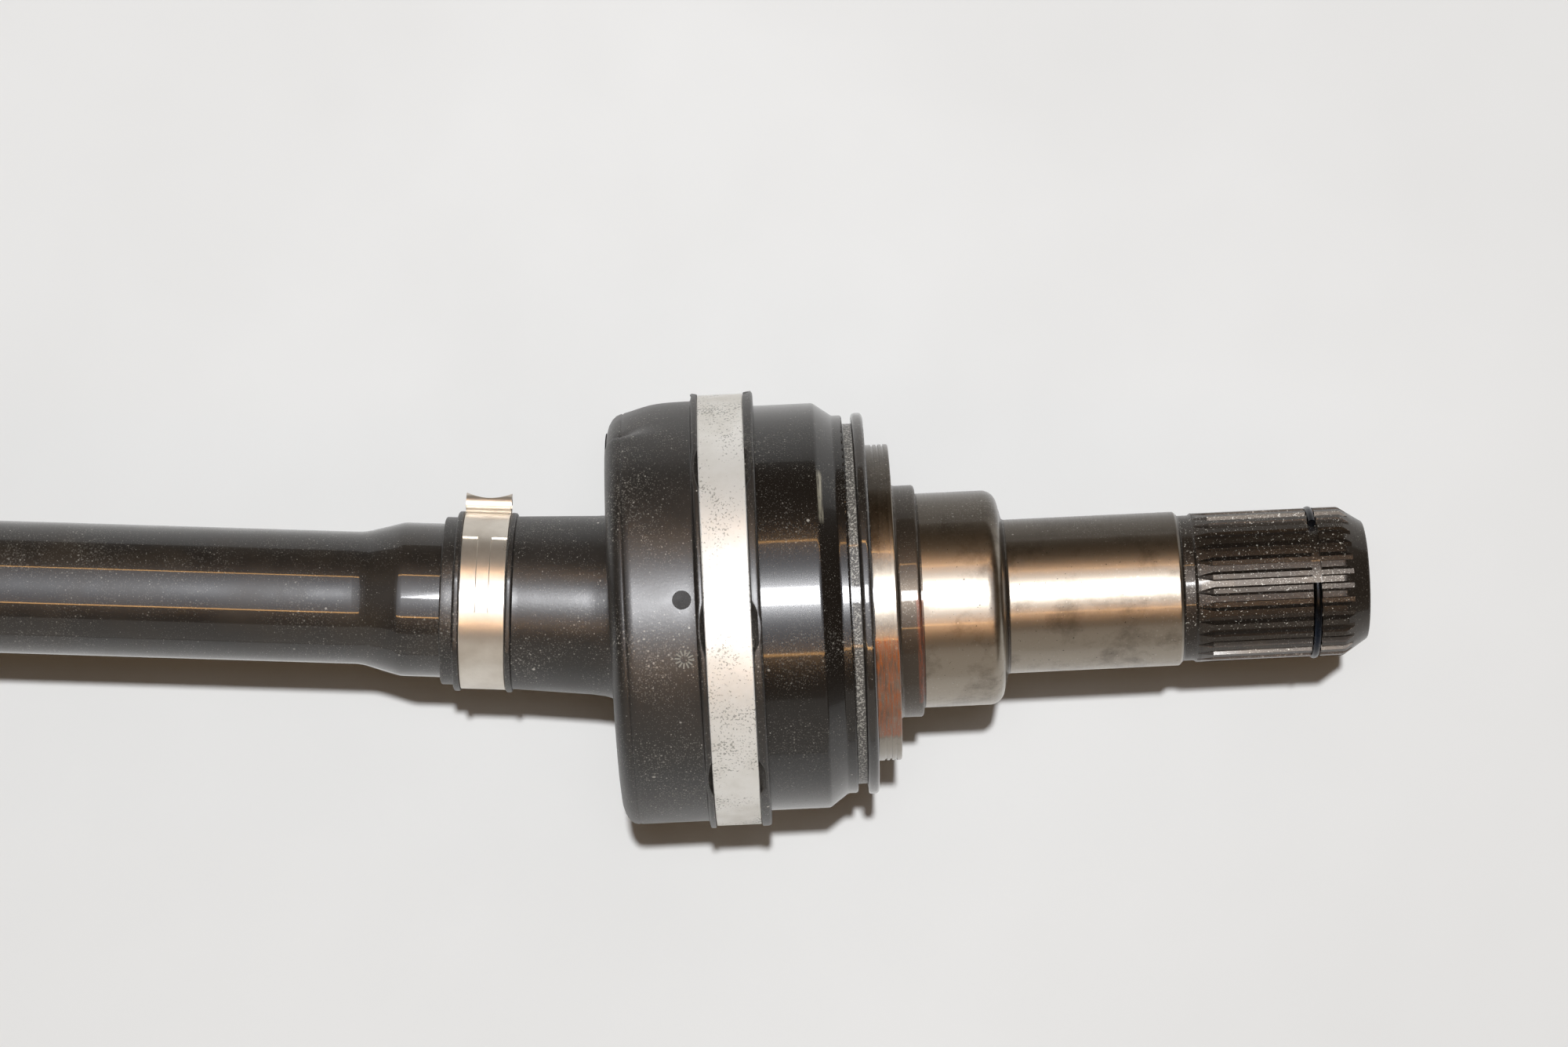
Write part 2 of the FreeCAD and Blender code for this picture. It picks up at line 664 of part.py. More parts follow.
def ear_clamp(start, end):
    """Stepless clamp: a band with one pinched ear at +Y and a tongue that lies over the joint."""
    inner = boot_seat_radius + seat_gap + collar_thickness + seat_gap
    outer = inner + small_clamp_thickness
    low = start + seat_gap
    width = end - start - 2 * seat_gap
    middle = low + width / 2
    band = ring(low, low + width, inner, outer, 0.2)
    cover = ring(low, low + width, outer - 0.1, outer + tongue_thickness, 0.2)
    tongue = ring(middle - tongue_width / 2, middle + tongue_width / 2, outer - 0.1,
                  outer + tongue_thickness, 0.2)
    lap = 90.0 - clamp_overlap
    layers = [sector(cover, lap, 88.0), sector(tongue, lap - tongue_sweep, lap + 2)]
    top = outer + ear_height
    centre = top - ear_bulb
    foot = outer - small_clamp_thickness * 0.6
    roll = Part.makeCylinder(ear_bulb, width, FreeCAD.Vector(low, centre, 0), X_AXIS)
    stem = box(low, low + width, foot, centre, ear_neck)
    skirt = prism([FreeCAD.Vector(low, foot, -2 * ear_neck), FreeCAD.Vector(low, foot, 2 * ear_neck),
                   FreeCAD.Vector(low, foot + ear_neck * 1.2, ear_neck * 0.9),
                   FreeCAD.Vector(low, foot + ear_neck * 1.2, -ear_neck * 0.9)],
                  FreeCAD.Vector(width, 0, 0))
    saddle_radius = (width * width / 4 + ear_saddle * ear_saddle) / (2 * ear_saddle)
    saddle = Part.makeCylinder(saddle_radius, 4 * ear_bulb,
                               FreeCAD.Vector(middle, top - ear_saddle + saddle_radius, -2 * ear_bulb), Z_AXIS)
    hollow = Part.makeCylinder(ear_bulb - small_clamp_thickness, width + 2,
                               FreeCAD.Vector(low - 1, centre - ear_saddle * 0.4, 0), X_AXIS)
    ear = roll.fuse([stem, skirt]).cut([saddle, hollow])
    return band.fuse(layers + [ear]).removeSplitter()


parts = {}
parts["drive_bar"] = drive_bar()
parts["inboard_inner_race"] = placed(
    inner_race(inboard_race_sphere, inboard_cage_half, inboard_balls, inboard_ball_radius,
               inboard_pitch_radius, inboard_track_play, inboard_track_base_gap), inboard_x, 0)
parts["outboard_inner_race"] = placed(
    inner_race(outboard_race_sphere, outboard_cage_half, outboard_balls, outboard_ball_radius,
               outboard_pitch_radius, outboard_track_play, outboard_track_base_gap), outboard_x, 0)
parts["inboard_race_circlip"] = race_circlip(inboard_x, 1, inboard_cage_half, 20.0)
parts["outboard_race_circlip"] = race_circlip(outboard_x, -1, outboard_cage_half, 65.0)

parts["inboard_outer_race"] = placed(inboard_outer_race(), inboard_x, rest_bend)
parts["slinger_ring"] = placed(
    ring(slinger_start, slinger_end, land_radius, outer_race_radius - slinger_drop, 1.0), inboard_x, rest_bend)
parts["stub_circlip"] = placed(
    open_ring(housing_end - stub_clip_inset, spline_radius - stub_clip_bury + stub_clip_wire, stub_clip_wire,
              clip_opening, 62.0), inboard_x, rest_bend)
parts["cage_stop_ring"] = placed(
    open_ring(stop_ring_x, stop_ring_inner + stop_wire_radius, stop_wire_radius, 12.0, -90.0),
    inboard_x, rest_bend)
parts["inboard_large_clamp"] = placed(wide_band(band_centre, outer_race_radius + seat_gap), inboard_x, rest_bend)
parts["inboard_boot"] = placed(inboard_boot(), inboard_x, 0)
parts["inboard_small_clamp"] = ear_clamp(inboard_x - inboard_collar_start - small_clamp_width,
                                         inboard_x - inboard_collar_start)
parts["inboard_cage"] = placed(
    cage_body(inboard_cage_outer, inboard_cage_inner, inboard_cage_half, inboard_balls,
              inboard_ball_radius, inboard_track_play), inboard_x, rest_bend / 2)

parts["outboard_bell"] = placed(outboard_bell(), outboard_x, 180)
parts["outboard_large_clamp"] = placed(
    wide_band(band_centre + outboard_band_centre, bell_radius + seat_gap), outboard_x, 0)
parts["outboard_boot"] = placed(outboard_boot(), outboard_x, 0)
parts["outboard_small_clamp"] = ear_clamp(outboard_x + outboard_collar_start,
                                          outboard_x + outboard_collar_start + small_clamp_width)
parts["outboard_cage"] = placed(
    cage_body(outboard_cage_outer, outboard_cage_inner, outboard_cage_half, outboard_balls,
              outboard_ball_radius, outboard_track_play), outboard_x, 0)

inboard_ball = Part.makeSphere(inboard_ball_radius, FreeCAD.Vector(0, inboard_pitch_radius, 0))
for number, ball in enumerate(around(inboard_ball, inboard_balls), 1):
    parts[f"inboard_ball_{number}"] = placed(ball, inboard_x, rest_bend / 2)
outboard_ball = Part.makeSphere(outboard_ball_radius, FreeCAD.Vector(0, outboard_pitch_radius, 0))
for number, ball in enumerate(around(outboard_ball, outboard_balls), 1):
    parts[f"outboard_ball_{number}"] = placed(ball, outboard_x, 0)

os.makedirs("parts", exist_ok=True)
for name, shape in parts.items():
    shape.exportStep(f"parts/{name}.step")
    print(name, len(shape.Solids), shape.isValid(), round(shape.Volume / 1000, 2))
print("inboard centre", round(inboard_x, 4), "outboard centre", round(outboard_x, 4))
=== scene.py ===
"""Dresses a car's drive shaft: lacquered joints, rubber boots, clamp bands and a bright stub."""
import json
import logging
import math
from dataclasses import dataclass
from enum import Enum

import bmesh
import bpy
from mathutils import Matrix, Vector


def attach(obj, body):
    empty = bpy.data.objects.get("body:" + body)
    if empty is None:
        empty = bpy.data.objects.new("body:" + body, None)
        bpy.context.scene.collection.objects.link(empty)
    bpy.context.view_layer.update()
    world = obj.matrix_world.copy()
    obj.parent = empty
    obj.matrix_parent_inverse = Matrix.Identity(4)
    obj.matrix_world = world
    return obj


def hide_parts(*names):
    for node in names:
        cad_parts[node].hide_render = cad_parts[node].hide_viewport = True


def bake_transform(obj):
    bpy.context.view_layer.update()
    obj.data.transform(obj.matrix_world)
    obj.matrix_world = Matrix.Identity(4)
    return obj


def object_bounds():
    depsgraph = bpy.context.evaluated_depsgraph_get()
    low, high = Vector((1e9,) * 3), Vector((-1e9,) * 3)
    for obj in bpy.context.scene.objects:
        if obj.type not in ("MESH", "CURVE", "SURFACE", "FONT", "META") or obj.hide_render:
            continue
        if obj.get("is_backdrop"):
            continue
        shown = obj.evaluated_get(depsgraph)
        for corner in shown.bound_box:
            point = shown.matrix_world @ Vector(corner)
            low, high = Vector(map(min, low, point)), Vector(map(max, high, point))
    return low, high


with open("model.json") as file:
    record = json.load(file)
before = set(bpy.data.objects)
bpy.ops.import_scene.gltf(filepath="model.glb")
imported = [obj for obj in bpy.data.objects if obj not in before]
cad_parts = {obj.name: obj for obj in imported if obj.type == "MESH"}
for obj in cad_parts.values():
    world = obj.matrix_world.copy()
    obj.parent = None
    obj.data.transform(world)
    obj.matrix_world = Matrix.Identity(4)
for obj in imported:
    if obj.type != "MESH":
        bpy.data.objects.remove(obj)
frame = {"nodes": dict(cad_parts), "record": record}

logging.basicConfig(level=logging.INFO, format="%(message)s")
log = logging.getLogger("drive_shaft")

MM = 0.001
# Where nearly all of a noise's values lie
NOISE_LOW, NOISE_HIGH = 0.3, 0.7
Corner = tuple[float, ...]
Tree = bpy.types.NodeTree
Socket = bpy.types.NodeSocket


class Body(Enum):
    """The rigid bodies that a piece can ride on."""

    HOUSING = "inboard_housing"
    BOOT = "inboard_boot"
    SHAFT = "drive_shaft"
    BELL = "outboard_bell"


class LampKind(Enum):
    """The kinds of lamp in the studio."""

    SUN = "SUN"
    AREA = "AREA"


def joint_named(name: str) -> dict:
    """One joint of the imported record.

    Args:
        name: the joint's name.

    Returns:
        The joint's entry, with its place and axis in metres.
    """
    return next(joint for joint in frame["record"]["behaviour"]["joints"] if joint["name"] == name)


INBOARD = Vector(joint_named("inboard_articulation")["pos_m"])
OUTBOARD = Vector(joint_named("outboard_articulation")["pos_m"])
HOUSING_AXIS = Vector(joint_named("inboard_plunge")["axis"])
REST_BEND = math.atan2(HOUSING_AXIS.y, HOUSING_AXIS.x)
HOUSING_PLACE = Matrix.Translation(INBOARD) @ Matrix.Rotation(REST_BEND, 4, "Z")


def linear(code: str) -> tuple[float, float, float, float]:
    """Turn an sRGB hex colour into the linear values that a shader takes.

    Args:
        code: six hex digits after a hash mark.

    Returns:
        Red, green, blue and an alpha of 1.
    """
    values = []
    for start in (1, 3, 5):
        share = int(code[start:start + 2], 16) / 255
        # The numbers are those of the sRGB standard: a straight foot, then a power
        values.append(share / 12.92 if share <= 0.04045 else ((share + 0.055) / 1.055) ** 2.4)
    return (values[0], values[1], values[2], 1.0)


def per_mm(size: float) -> float:
    """Scale of a pattern on Object coordinates whose grain is so many millimetres."""
    return 1.0 / (size * MM)


def add(tree: Tree, kind: str, settings: dict, links: dict | None = None) -> bpy.types.Node:
    """Add a node with its settings and links.

    Args:
        tree: the node tree.
        kind: the node's type name.
        settings: values by property name, socket name or socket number.
        links: output sockets by the input's name or number.

    Returns:
        The new node.
    """
    node = tree.nodes.new(kind)
    for key, value in settings.items():
        if isinstance(key, str) and hasattr(node, key):
            setattr(node, key, value)
        else:
            node.inputs[key].default_value = value
    for key, socket in (links or {}).items():
        tree.links.new(socket, node.inputs[key])
    return node


@dataclass(frozen=True)
class DustGrain:
    """One size of dust: its spacing and radius in mm, how much it hides of what is under it, its colour."""

    spacing: float
    radius: float
    cover: float
    colour: str


DUST = (DustGrain(0.42, 0.1, 0.4, "#aaa59c"), DustGrain(1.1, 0.14, 0.6, "#c2bdb3"),
        DustGrain(6.0, 0.24, 1.0, "#d2cdc4"))


@dataclass(frozen=True)
class Finish:
    """A surface: its colours, metal share, roughness, relief, dust, coat and IOR. Sizes in mm."""

    name: str
    colour: str
    tone: str
    metallic: float
    roughness: float
    grain: float
    grain_height: float
    dust: float
    # Clouds of a second tone, over which the roughness changes too
    tone_size: float = 14.0
    tone_low: float = 0.42
    tone_high: float = 0.68
    smoothest: float = 0.85
    roughest: float = 1.2
    # Clear coat, and drifts of dust
    coat: float = 0.0
    coat_roughness: float = 0.06
    ior: float = 1.5
    drift_size: float = 16.0
    drift_low: float = 0.15
    drift_high: float = 0.75

    def material(self) -> bpy.types.Material:
        """Make the procedural material.

        Returns:
            The material, ready to assign.
        """
        material = bpy.data.materials.new(self.name)
        material.use_nodes = True
        tree = material.node_tree
        tree.nodes.clear()
        place = add(tree, "ShaderNodeTexCoord", {}).outputs["Object"]
        colour, metallic, rough = self.base(tree, place)
        colour = self.specks(tree, place, colour)
        bump = self.relief(tree, place)
        shader = add(tree, "ShaderNodeBsdfPrincipled",
                     {"Roughness": self.roughness, "Metallic": self.metallic, "Coat Weight": self.coat,
                      "Coat Roughness": self.coat_roughness, "IOR": self.ior},
                     {"Base Color": colour, "Normal": bump, "Roughness": rough})
        if metallic is not None:
            tree.links.new(metallic, shader.inputs["Metallic"])
        add(tree, "ShaderNodeOutputMaterial", {}, {"Surface": shader.outputs[0]})
        return material

    def base(self, tree: Tree, place: Socket) -> tuple[Socket, Socket | None, Socket]:
        """Colour with slow changes of tone, and a roughness that changes with it.

        Args:
            tree: the node tree.
            place: the coordinates.

        Returns:
            The colour, metallic and roughness sockets; metallic is None where it is constant.
        """
        cloud = add(tree, "ShaderNodeTexNoise",
                    {"Scale": per_mm(self.tone_size), "Detail": 5.0, "Roughness": 0.6}, {"Vector": place})
        share = add(tree, "ShaderNodeMapRange", {"From Min": self.tone_low, "From Max": self.tone_high},
                    {"Value": cloud.outputs[0]})
        mix = add(tree, "ShaderNodeMix", {"data_type": "RGBA", 6: linear(self.colour), 7: linear(self.tone)},
                  {0: share.outputs[0]})
        rough = add(tree, "ShaderNodeMapRange",
                    {"From Min": NOISE_LOW, "From Max": NOISE_HIGH, "To Min": self.roughness * self.smoothest,
                     "To Max": self.roughness * self.roughest}, {"Value": cloud.outputs[0]})
        return mix.outputs[2], None, rough.outputs[0]

    def specks(self, tree: Tree, place: Socket, colour: Socket) -> Socket:
        """Lay pale grains of dust over a colour.

        Args:
            tree: the node tree.
            place: the coordinates.
            colour: the colour underneath.

        Returns:
            The dusted colour.
        """
        if self.dust <= 0:
            return colour
        out = colour
        # Dust drifts into clouds, and the grains grow where a cloud is thick
        drift = add(tree, "ShaderNodeTexNoise", {"Scale": per_mm(self.drift_size), "Detail": 4.0},
                    {"Vector": place})
        for grain in DUST:
            cells = add(tree, "ShaderNodeTexVoronoi", {"Scale": per_mm(grain.spacing), "Randomness": 1.0},
                        {"Vector": place})
            limit = add(tree, "ShaderNodeMapRange",
                        {"From Min": self.drift_low, "From Max": self.drift_high,
                         "To Max": grain.radius / grain.spacing * 2}, {"Value": drift.outputs[0]})
            near = add(tree, "ShaderNodeMath", {"operation": "LESS_THAN"},
                       {0: cells.outputs["Distance"], 1: limit.outputs[0]})
            luck = add(tree, "ShaderNodeSeparateColor", {}, {0: cells.outputs["Color"]})
            lit = add(tree, "ShaderNodeMath", {"operation": "MULTIPLY"},
                      {0: near.outputs[0], 1: luck.outputs[0]})
            amount = add(tree, "ShaderNodeMath", {"operation": "MULTIPLY", 1: grain.cover * self.dust},
                         {0: lit.outputs[0]})
            out = add(tree, "ShaderNodeMix", {"data_type": "RGBA", 7: linear(grain.colour)},
                      {0: amount.outputs[0], 6: out}).outputs[2]
        return out

    def relief(self, tree: Tree, place: Socket) -> Socket:
        """Fine unevenness of the surface.

        Args:
            tree: the node tree.
            place: the coordinates.

        Returns:
            The bumped normal.
        """
        grain = add(tree, "ShaderNodeTexNoise", {"Scale": per_mm(self.grain), "Detail": 3.0},
                    {"Vector": place})
        bump = add(tree, "ShaderNodeBump", {"Strength": 1.0, "Distance": self.grain_height * MM},
                   {"Height": grain.outputs[0]})
        return bump.outputs[0]


@dataclass(frozen=True)
class SpeckledBand(Finish):
    """Zinc-plated band: a pale matt metal with small dark pits. Sizes in mm."""

    pit: str = "#6d6a62"
    pit_size: float = 0.5
    pit_cloud: float = 12.0
    pit_share: float = 0.6

    def base(self, tree: Tree, place: Socket) -> tuple[Socket, Socket | None, Socket]:
        """Plated colour with pits that gather in clouds.

        Args:
            tree: the node tree.
            place: the coordinates.

        Returns:
            The colour, metallic and roughness sockets; metallic is None because it is constant.
        """
        colour, metallic, rough = super().base(tree, place)
        pits = add(tree, "ShaderNodeTexNoise", {"Scale": per_mm(self.pit_size), "Detail": 2.0},
                   {"Vector": place})
        cloud = add(tree, "ShaderNodeTexNoise", {"Scale": per_mm(self.pit_cloud), "Detail": 2.0},
                    {"Vector": place})
        height = add(tree, "ShaderNodeMath", {"operation": "MULTIPLY_ADD", 1: 0.8},
                     {0: cloud.outputs[0], 2: pits.outputs[0]})
        share = add(tree, "ShaderNodeMapRange", {"From Min": 1.0, "From Max": 1.1, "To Max": self.pit_share},
                    {"Value": height.outputs[0]})
        mix = add(tree, "ShaderNodeMix", {"data_type": "RGBA", 7: linear(self.pit)},
                  {0: share.outputs[0], 6: colour})
        return mix.outputs[2], metallic, rough


@dataclass(frozen=True)
class Zone:
    """A stretch of the forging along its own axis, from a start in mm from the joint's centre."""

    start: float
    colour: str
    metallic: float
    roughness: float


@dataclass(frozen=True)
class Spot:
    """A patch on the forging, in mm along the axis and in degrees from +Z towards +Y.

    It shows in streaks round the axis, or in grains of a size in mm, where a noise passes a threshold.
    """

    start: float
    end: float
    low: float
    high: float
    colour: str
    grain: float = 0.0
    threshold: float = 0.4


@dataclass(frozen=True)
class ForgingSteel(Finish):
    """One forging with a lacquered housing and turned, ground and splined stretches. Sizes in mm."""

    zones: tuple[Zone, ...] = ()
    spots: tuple[Spot, ...] = ()
    low: float = -30.0
    high: float = 150.0
    centre: tuple[float, float, float] = (0.0, 0.0, 0.0)
    turn: float = 0.0
    # Turning marks, clouds of tarnish, and painted shade over the upper side between two angles in degrees
    mark_pitch: float = 0.5
    mark_depth: float = 0.06
    tarnish_size: float = 9.0
    tarnish_low: float = 0.5
    tarnish_high: float = 0.75
    tarnish_share: float = 0.75
    # Painted shade: a dark brown laid over the upper side of the bare steel, towards +Y
    painted_shade: str = "#39322a"
    painted_shade_low: float = 27.0
    painted_shade_high: float = 50.0
    painted_shade_share: float = 0.78
    # Streaks of rust, and how softly a patch ends, in mm and in radians
    streak_width: float = 0.45
    streaks_per_radian: float = 7.0
    soft_edge: float = 0.25
    soft_turn: float = 0.02

    def ramp(self, tree: Tree, share: Socket, colours: list) -> Socket:
        """Colours that change abruptly from zone to zone.

        Args:
            tree: the node tree.
            share: place along the axis, from 0 to 1.
            colours: one linear colour for each zone.

        Returns:
            The colour socket.
        """
        node = add(tree, "ShaderNodeValToRGB", {}, {0: share})
        node.color_ramp.interpolation = "CONSTANT"
        stops = node.color_ramp.elements
        stops[0].position = 0.0
        stops[0].color = colours[0]
        stops.remove(stops[1])
        for zone, colour in list(zip(self.zones, colours))[1:]:
            stop = stops.new((zone.start - self.low) / (self.high - self.low))
            stop.color = colour
        return node.outputs[0]

    def base(self, tree: Tree, place: Socket) -> tuple[Socket, Socket | None, Socket]:
        """Zones of finish with turning marks, tarnish, painted shade over the upper side, rust, grit, pits
        and painted glints.

        Args:
            tree: the node tree.
            place: the coordinates.

        Returns:
            The colour, metallic and roughness sockets.
        """
        own = add(tree, "ShaderNodeMapping",
                  {"vector_type": "TEXTURE", "Location": self.centre, "Rotation": (0.0, 0.0, self.turn)},
                  {"Vector": place}).outputs[0]
        split = add(tree, "ShaderNodeSeparateXYZ", {}, {0: own}).outputs
        share = add(tree, "ShaderNodeMapRange", {"From Min": self.low * MM, "From Max": self.high * MM},
                    {"Value": split[0]}).outputs[0]
        colour = self.ramp(tree, share, [linear(zone.colour) for zone in self.zones])
        metal = self.ramp(tree, share, [(zone.metallic,) * 3 + (1.0,) for zone in self.zones])
        rough = self.ramp(tree, share, [(zone.roughness,) * 3 + (1.0,) for zone in self.zones])
        # Turning marks about half a millimetre apart, drawn that coarse so that they show on bare steel
        lathe = add(tree, "ShaderNodeTexNoise",
                    {"noise_dimensions": "1D", "Scale": per_mm(self.mark_pitch), "Detail": 2.0},
                    {"W": split[0]})
        marks = add(tree, "ShaderNodeMapRange",
                    {"From Min": NOISE_LOW, "From Max": NOISE_HIGH, "To Min": 1 - self.mark_depth,
                     "To Max": 1 + self.mark_depth}, {"Value": lathe.outputs[0]})
        bare = add(tree, "ShaderNodeMix", {"data_type": "FLOAT", 2: 1.0}, {0: metal, 3: marks.outputs[0]})
        marked = add(tree, "ShaderNodeMath", {"operation": "MULTIPLY"},
                     {0: rough, 1: bare.outputs[0]}).outputs[0]
        # Tarnish in clouds, and painted shade over the upper side towards +Y, both on bare steel only
        cloud = add(tree, "ShaderNodeTexNoise",
                    {"Scale": per_mm(self.tarnish_size), "Detail": 5.0, "Roughness": 0.65}, {"Vector": own})
        stain = add(tree, "ShaderNodeMapRange",
                    {"From Min": self.tarnish_low, "From Max": self.tarnish_high,
                     "To Max": self.tarnish_share}, {"Value": cloud.outputs[0]})
        angle = add(tree, "ShaderNodeMath", {"operation": "ARCTAN2"}, {0: split[1], 1: split[2]}).outputs[0]
        # Painted shade, growing from the first angle to the second and full beyond it
        painted_shade_side = add(tree, "ShaderNodeMapRange",
                    {"From Min": math.radians(self.painted_shade_low), "From Max": math.radians(self.painted_shade_high),
                     "To Max": self.painted_shade_share}, {"Value": angle})
        for layer, tint in ((stain, self.tone), (painted_shade_side, self.painted_shade)):
            on_metal = add(tree, "ShaderNodeMath", {"operation": "MULTIPLY"}, {0: layer.outputs[0], 1: metal})
            colour = add(tree, "ShaderNodeMix", {"data_type": "RGBA", 7: linear(tint)},
                         {0: on_metal.outputs[0], 6: colour}).outputs[2]
        # Rust lies in streaks along the turning marks: fine across them, some ten degrees long
        across = add(tree, "ShaderNodeMath", {"operation": "MULTIPLY", 1: per_mm(self.streak_width)},
                     {0: split[0]})
        along = add(tree, "ShaderNodeMath", {"operation": "MULTIPLY", 1: self.streaks_per_radian}, {0: angle})
        streaks = add(tree, "ShaderNodeCombineXYZ", {},
                      {0: across.outputs[0], 1: along.outputs[0]}).outputs[0]
        for spot in self.spots:
            cover = self.patch(tree, spot, split[0], angle, own if spot.grain else streaks)
            colour = add(tree, "ShaderNodeMix", {"data_type": "RGBA", 7: linear(spot.colour)},
                         {0: cover, 6: colour}).outputs[2]
            keep = add(tree, "ShaderNodeMath", {"operation": "SUBTRACT", 0: 1.0}, {1: cover}).outputs[0]
            metal = add(tree, "ShaderNodeMath", {"operation": "MULTIPLY"}, {0: metal, 1: keep}).outputs[0]
        return colour, metal, marked

    def patch(self, tree: Tree, spot: Spot, along: Socket, angle: Socket, place: Socket) -> Socket:
        """How much of a spot covers each point.

        Args:
            tree: the node tree.
            spot: the spot.
            along: place along the axis, in metres.
            angle: angle about the axis, in radians.
            place: the coordinates of its pattern, those of the grains or of the streaks.

        Returns:
            A share from 0 to 1.
        """
        soft, turn = self.soft_edge * MM, self.soft_turn
        inside = None
        for socket, start, full in (
                (along, spot.start * MM - soft, spot.start * MM + soft),
                (along, spot.end * MM + soft, spot.end * MM - soft),
                (angle, math.radians(spot.low) - turn, math.radians(spot.low) + turn),
                (angle, math.radians(spot.high) + turn, math.radians(spot.high) - turn)):
            side = add(tree, "ShaderNodeMapRange", {"From Min": start, "From Max": full},
                       {"Value": socket}).outputs[0]
            inside = side if inside is None else add(
                tree, "ShaderNodeMath", {"operation": "MULTIPLY"}, {0: inside, 1: side}).outputs[0]
        # Grains are small and sharp; streaks are finer, softer and leave a stain between them
        scale, detail, spread, least = (
            (per_mm(spot.grain), 2.0, 0.04, 0.0) if spot.grain else (1.0, 6.0, 0.2, 0.15))
        noise = add(tree, "ShaderNodeTexNoise", {"Scale": scale, "Detail": detail, "Roughness": 0.7},
                    {"Vector": place})
        shown = add(tree, "ShaderNodeMapRange",
                    {"From Min": spot.threshold, "From Max": spot.threshold + spread, "To Min": least},
                    {"Value": noise.outputs[0]})
        return add(tree, "ShaderNodeMath", {"operation": "MULTIPLY"},
                   {0: inside, 1: shown.outputs[0]}).outputs[0]


FORGED_ZONES = (
    Zone(-30.0, "#191614", 0.0, 0.27),   # housing, lacquered
    Zone(26.8, "#5a5753", 0.0, 0.55),    # groove, full of grit
    Zone(29.0, "#1c1a19", 0.0, 0.35),    # edge beside the slinger ring
    Zone(31.65, "#8f877b", 1.0, 0.30),   # land, turned
    Zone(37.4, "#50483f", 0.8, 0.42),    # step, oily
    Zone(42.6, "#a0978a", 1.0, 0.31),    # journal, ground
    Zone(60.9, "#4d463f", 0.9, 0.42),    # shoulder
    Zone(62.6, "#9a9184", 1.0, 0.33),    # stub, ground
    Zone(101.7, "#37322d", 0.8, 0.45),   # undercut, oily
    Zone(106.2, "#3d3731", 0.8, 0.38),   # spline, oily
)
# Past half a turn each way, so that a patch all round has no soft edge
FULL_TURN = (-181.0, 181.0)
SPOTS_AND_GLINTS = (
    Spot(31.7, 37.3, -56.0, -12.0, "#a2592c"),           # rust on the land
    Spot(41.5, 42.9, -60.0, 4.0, "#7a3c1e"),             # rust at the step's root
    Spot(20.4, 21.3, 25.0, 41.0, "#b3ad9a"),             # chip in the lacquer
    Spot(26.9, 28.8, *FULL_TURN, "#b8b4ab", 0.45, 0.53),   # grit in the groove
    Spot(43.0, 101.0, *FULL_TURN, "#3b332b", 0.8, 0.69),   # pits in the ground steel
    Spot(102.5, 140.0, -35.0, 75.0, "#dcd8cd", 0.5, 0.65),   # painted glints: pale grains on the lit side of the oily teeth, standing in for highlights
)

# Baked black lacquer on steel: deep and even under a clear gloss, with a little dust on it
LACQUER = Finish("baked_black_lacquer_on_steel", "#1b1816", "#282119", metallic=0.0, roughness=0.40,
                 grain=0.9, grain_height=0.004, dust=0.6, coat=0.9)
# Forged steel, part lacquered and part turned and ground: black gloss beside warm bright metal with tarnish
FORGED = ForgingSteel("forged_steel_part_lacquered", "#191614", "#4f453a", metallic=0.0, roughness=0.3,
                      grain=0.5, grain_height=0.003, dust=0.6, coat=0.4, zones=FORGED_ZONES, spots=SPOTS_AND_GLINTS,
                      centre=tuple(INBOARD), turn=REST_BEND)
# Moulded chloroprene rubber with carbon black in it: a broad soft sheen on near black, and dust that clings.
# Its IOR is above the usual 1.55, to match how bright the photograph has that sheen
RUBBER = Finish("moulded_black_rubber", "#242220", "#2d2824", metallic=0.0, roughness=0.37,
                grain=0.6, grain_height=0.015, dust=1.0, tone_size=22.0, ior=1.68)
# The same rubber where a mould mark stands proud and has been rubbed pale
PALE_MARK = Finish("dusty_rubber_mark", "#8d8981", "#989388", metallic=0.0, roughness=0.6,
                   grain=0.5, grain_height=0.05, dust=1.0)
# The same rubber in a matt sunk mark, darker than the skin round it
MARK = Finish("moulded_black_rubber_mark", "#121110", "#171513", metallic=0.0, roughness=0.6,
              grain=0.5, grain_height=0.05, dust=0.5)
# Zinc-plated strip steel: near white and matt, with dark pits where the plating has gone
ZINC = SpeckledBand("zinc_plated_band_steel", "#fffdf8", "#e9e6de", metallic=0.4, roughness=0.42,
                    grain=1.2, grain_height=0.01, dust=0.0)
# Rolled stainless strip: a warm pale metal with soft reflections
STAINLESS = Finish("rolled_stainless_band", "#e8e1d6", "#cfc6b9", metallic=0.8, roughness=0.3,
                   grain=0.8, grain_height=0.004, dust=0.2)
# Blued spring wire: dark with a blue edge to its shine
BLUED = Finish("blued_spring_wire", "#1c222e", "#232323", metallic=1.0, roughness=0.26,
               grain=0.6, grain_height=0.003, dust=0.2)
# Ground steel under oil: a mid grey metal, seen only inside the joints
GROUND = Finish("ground_and_oiled_steel", "#8b847a", "#6f675d", metallic=1.0, roughness=0.28,
                grain=0.6, grain_height=0.003, dust=0.0)
# Polished ball steel: clean and mirror-like
POLISHED = Finish("polished_ball_steel", "#b9b7b3", "#a9a7a3", metallic=1.0, roughness=0.1,
                  grain=1.5, grain_height=0.001, dust=0.0)
# Painted table top: matt, pale and plain
TABLE = Finish("pale_table_top", "#efefee", "#ededec", metallic=0.0, roughness=0.6,
               grain=3.0, grain_height=0.002, dust=0.0, tone_size=300.0)


def wear(obj: bpy.types.Object, material: bpy.types.Material) -> None:
    """Give every slot of an object one material.

    Args:
        obj: the object.
        material: the material.
    """
    if not obj.data.materials:
        obj.data.materials.append(material)
    for slot in obj.material_slots:
        slot.material = material


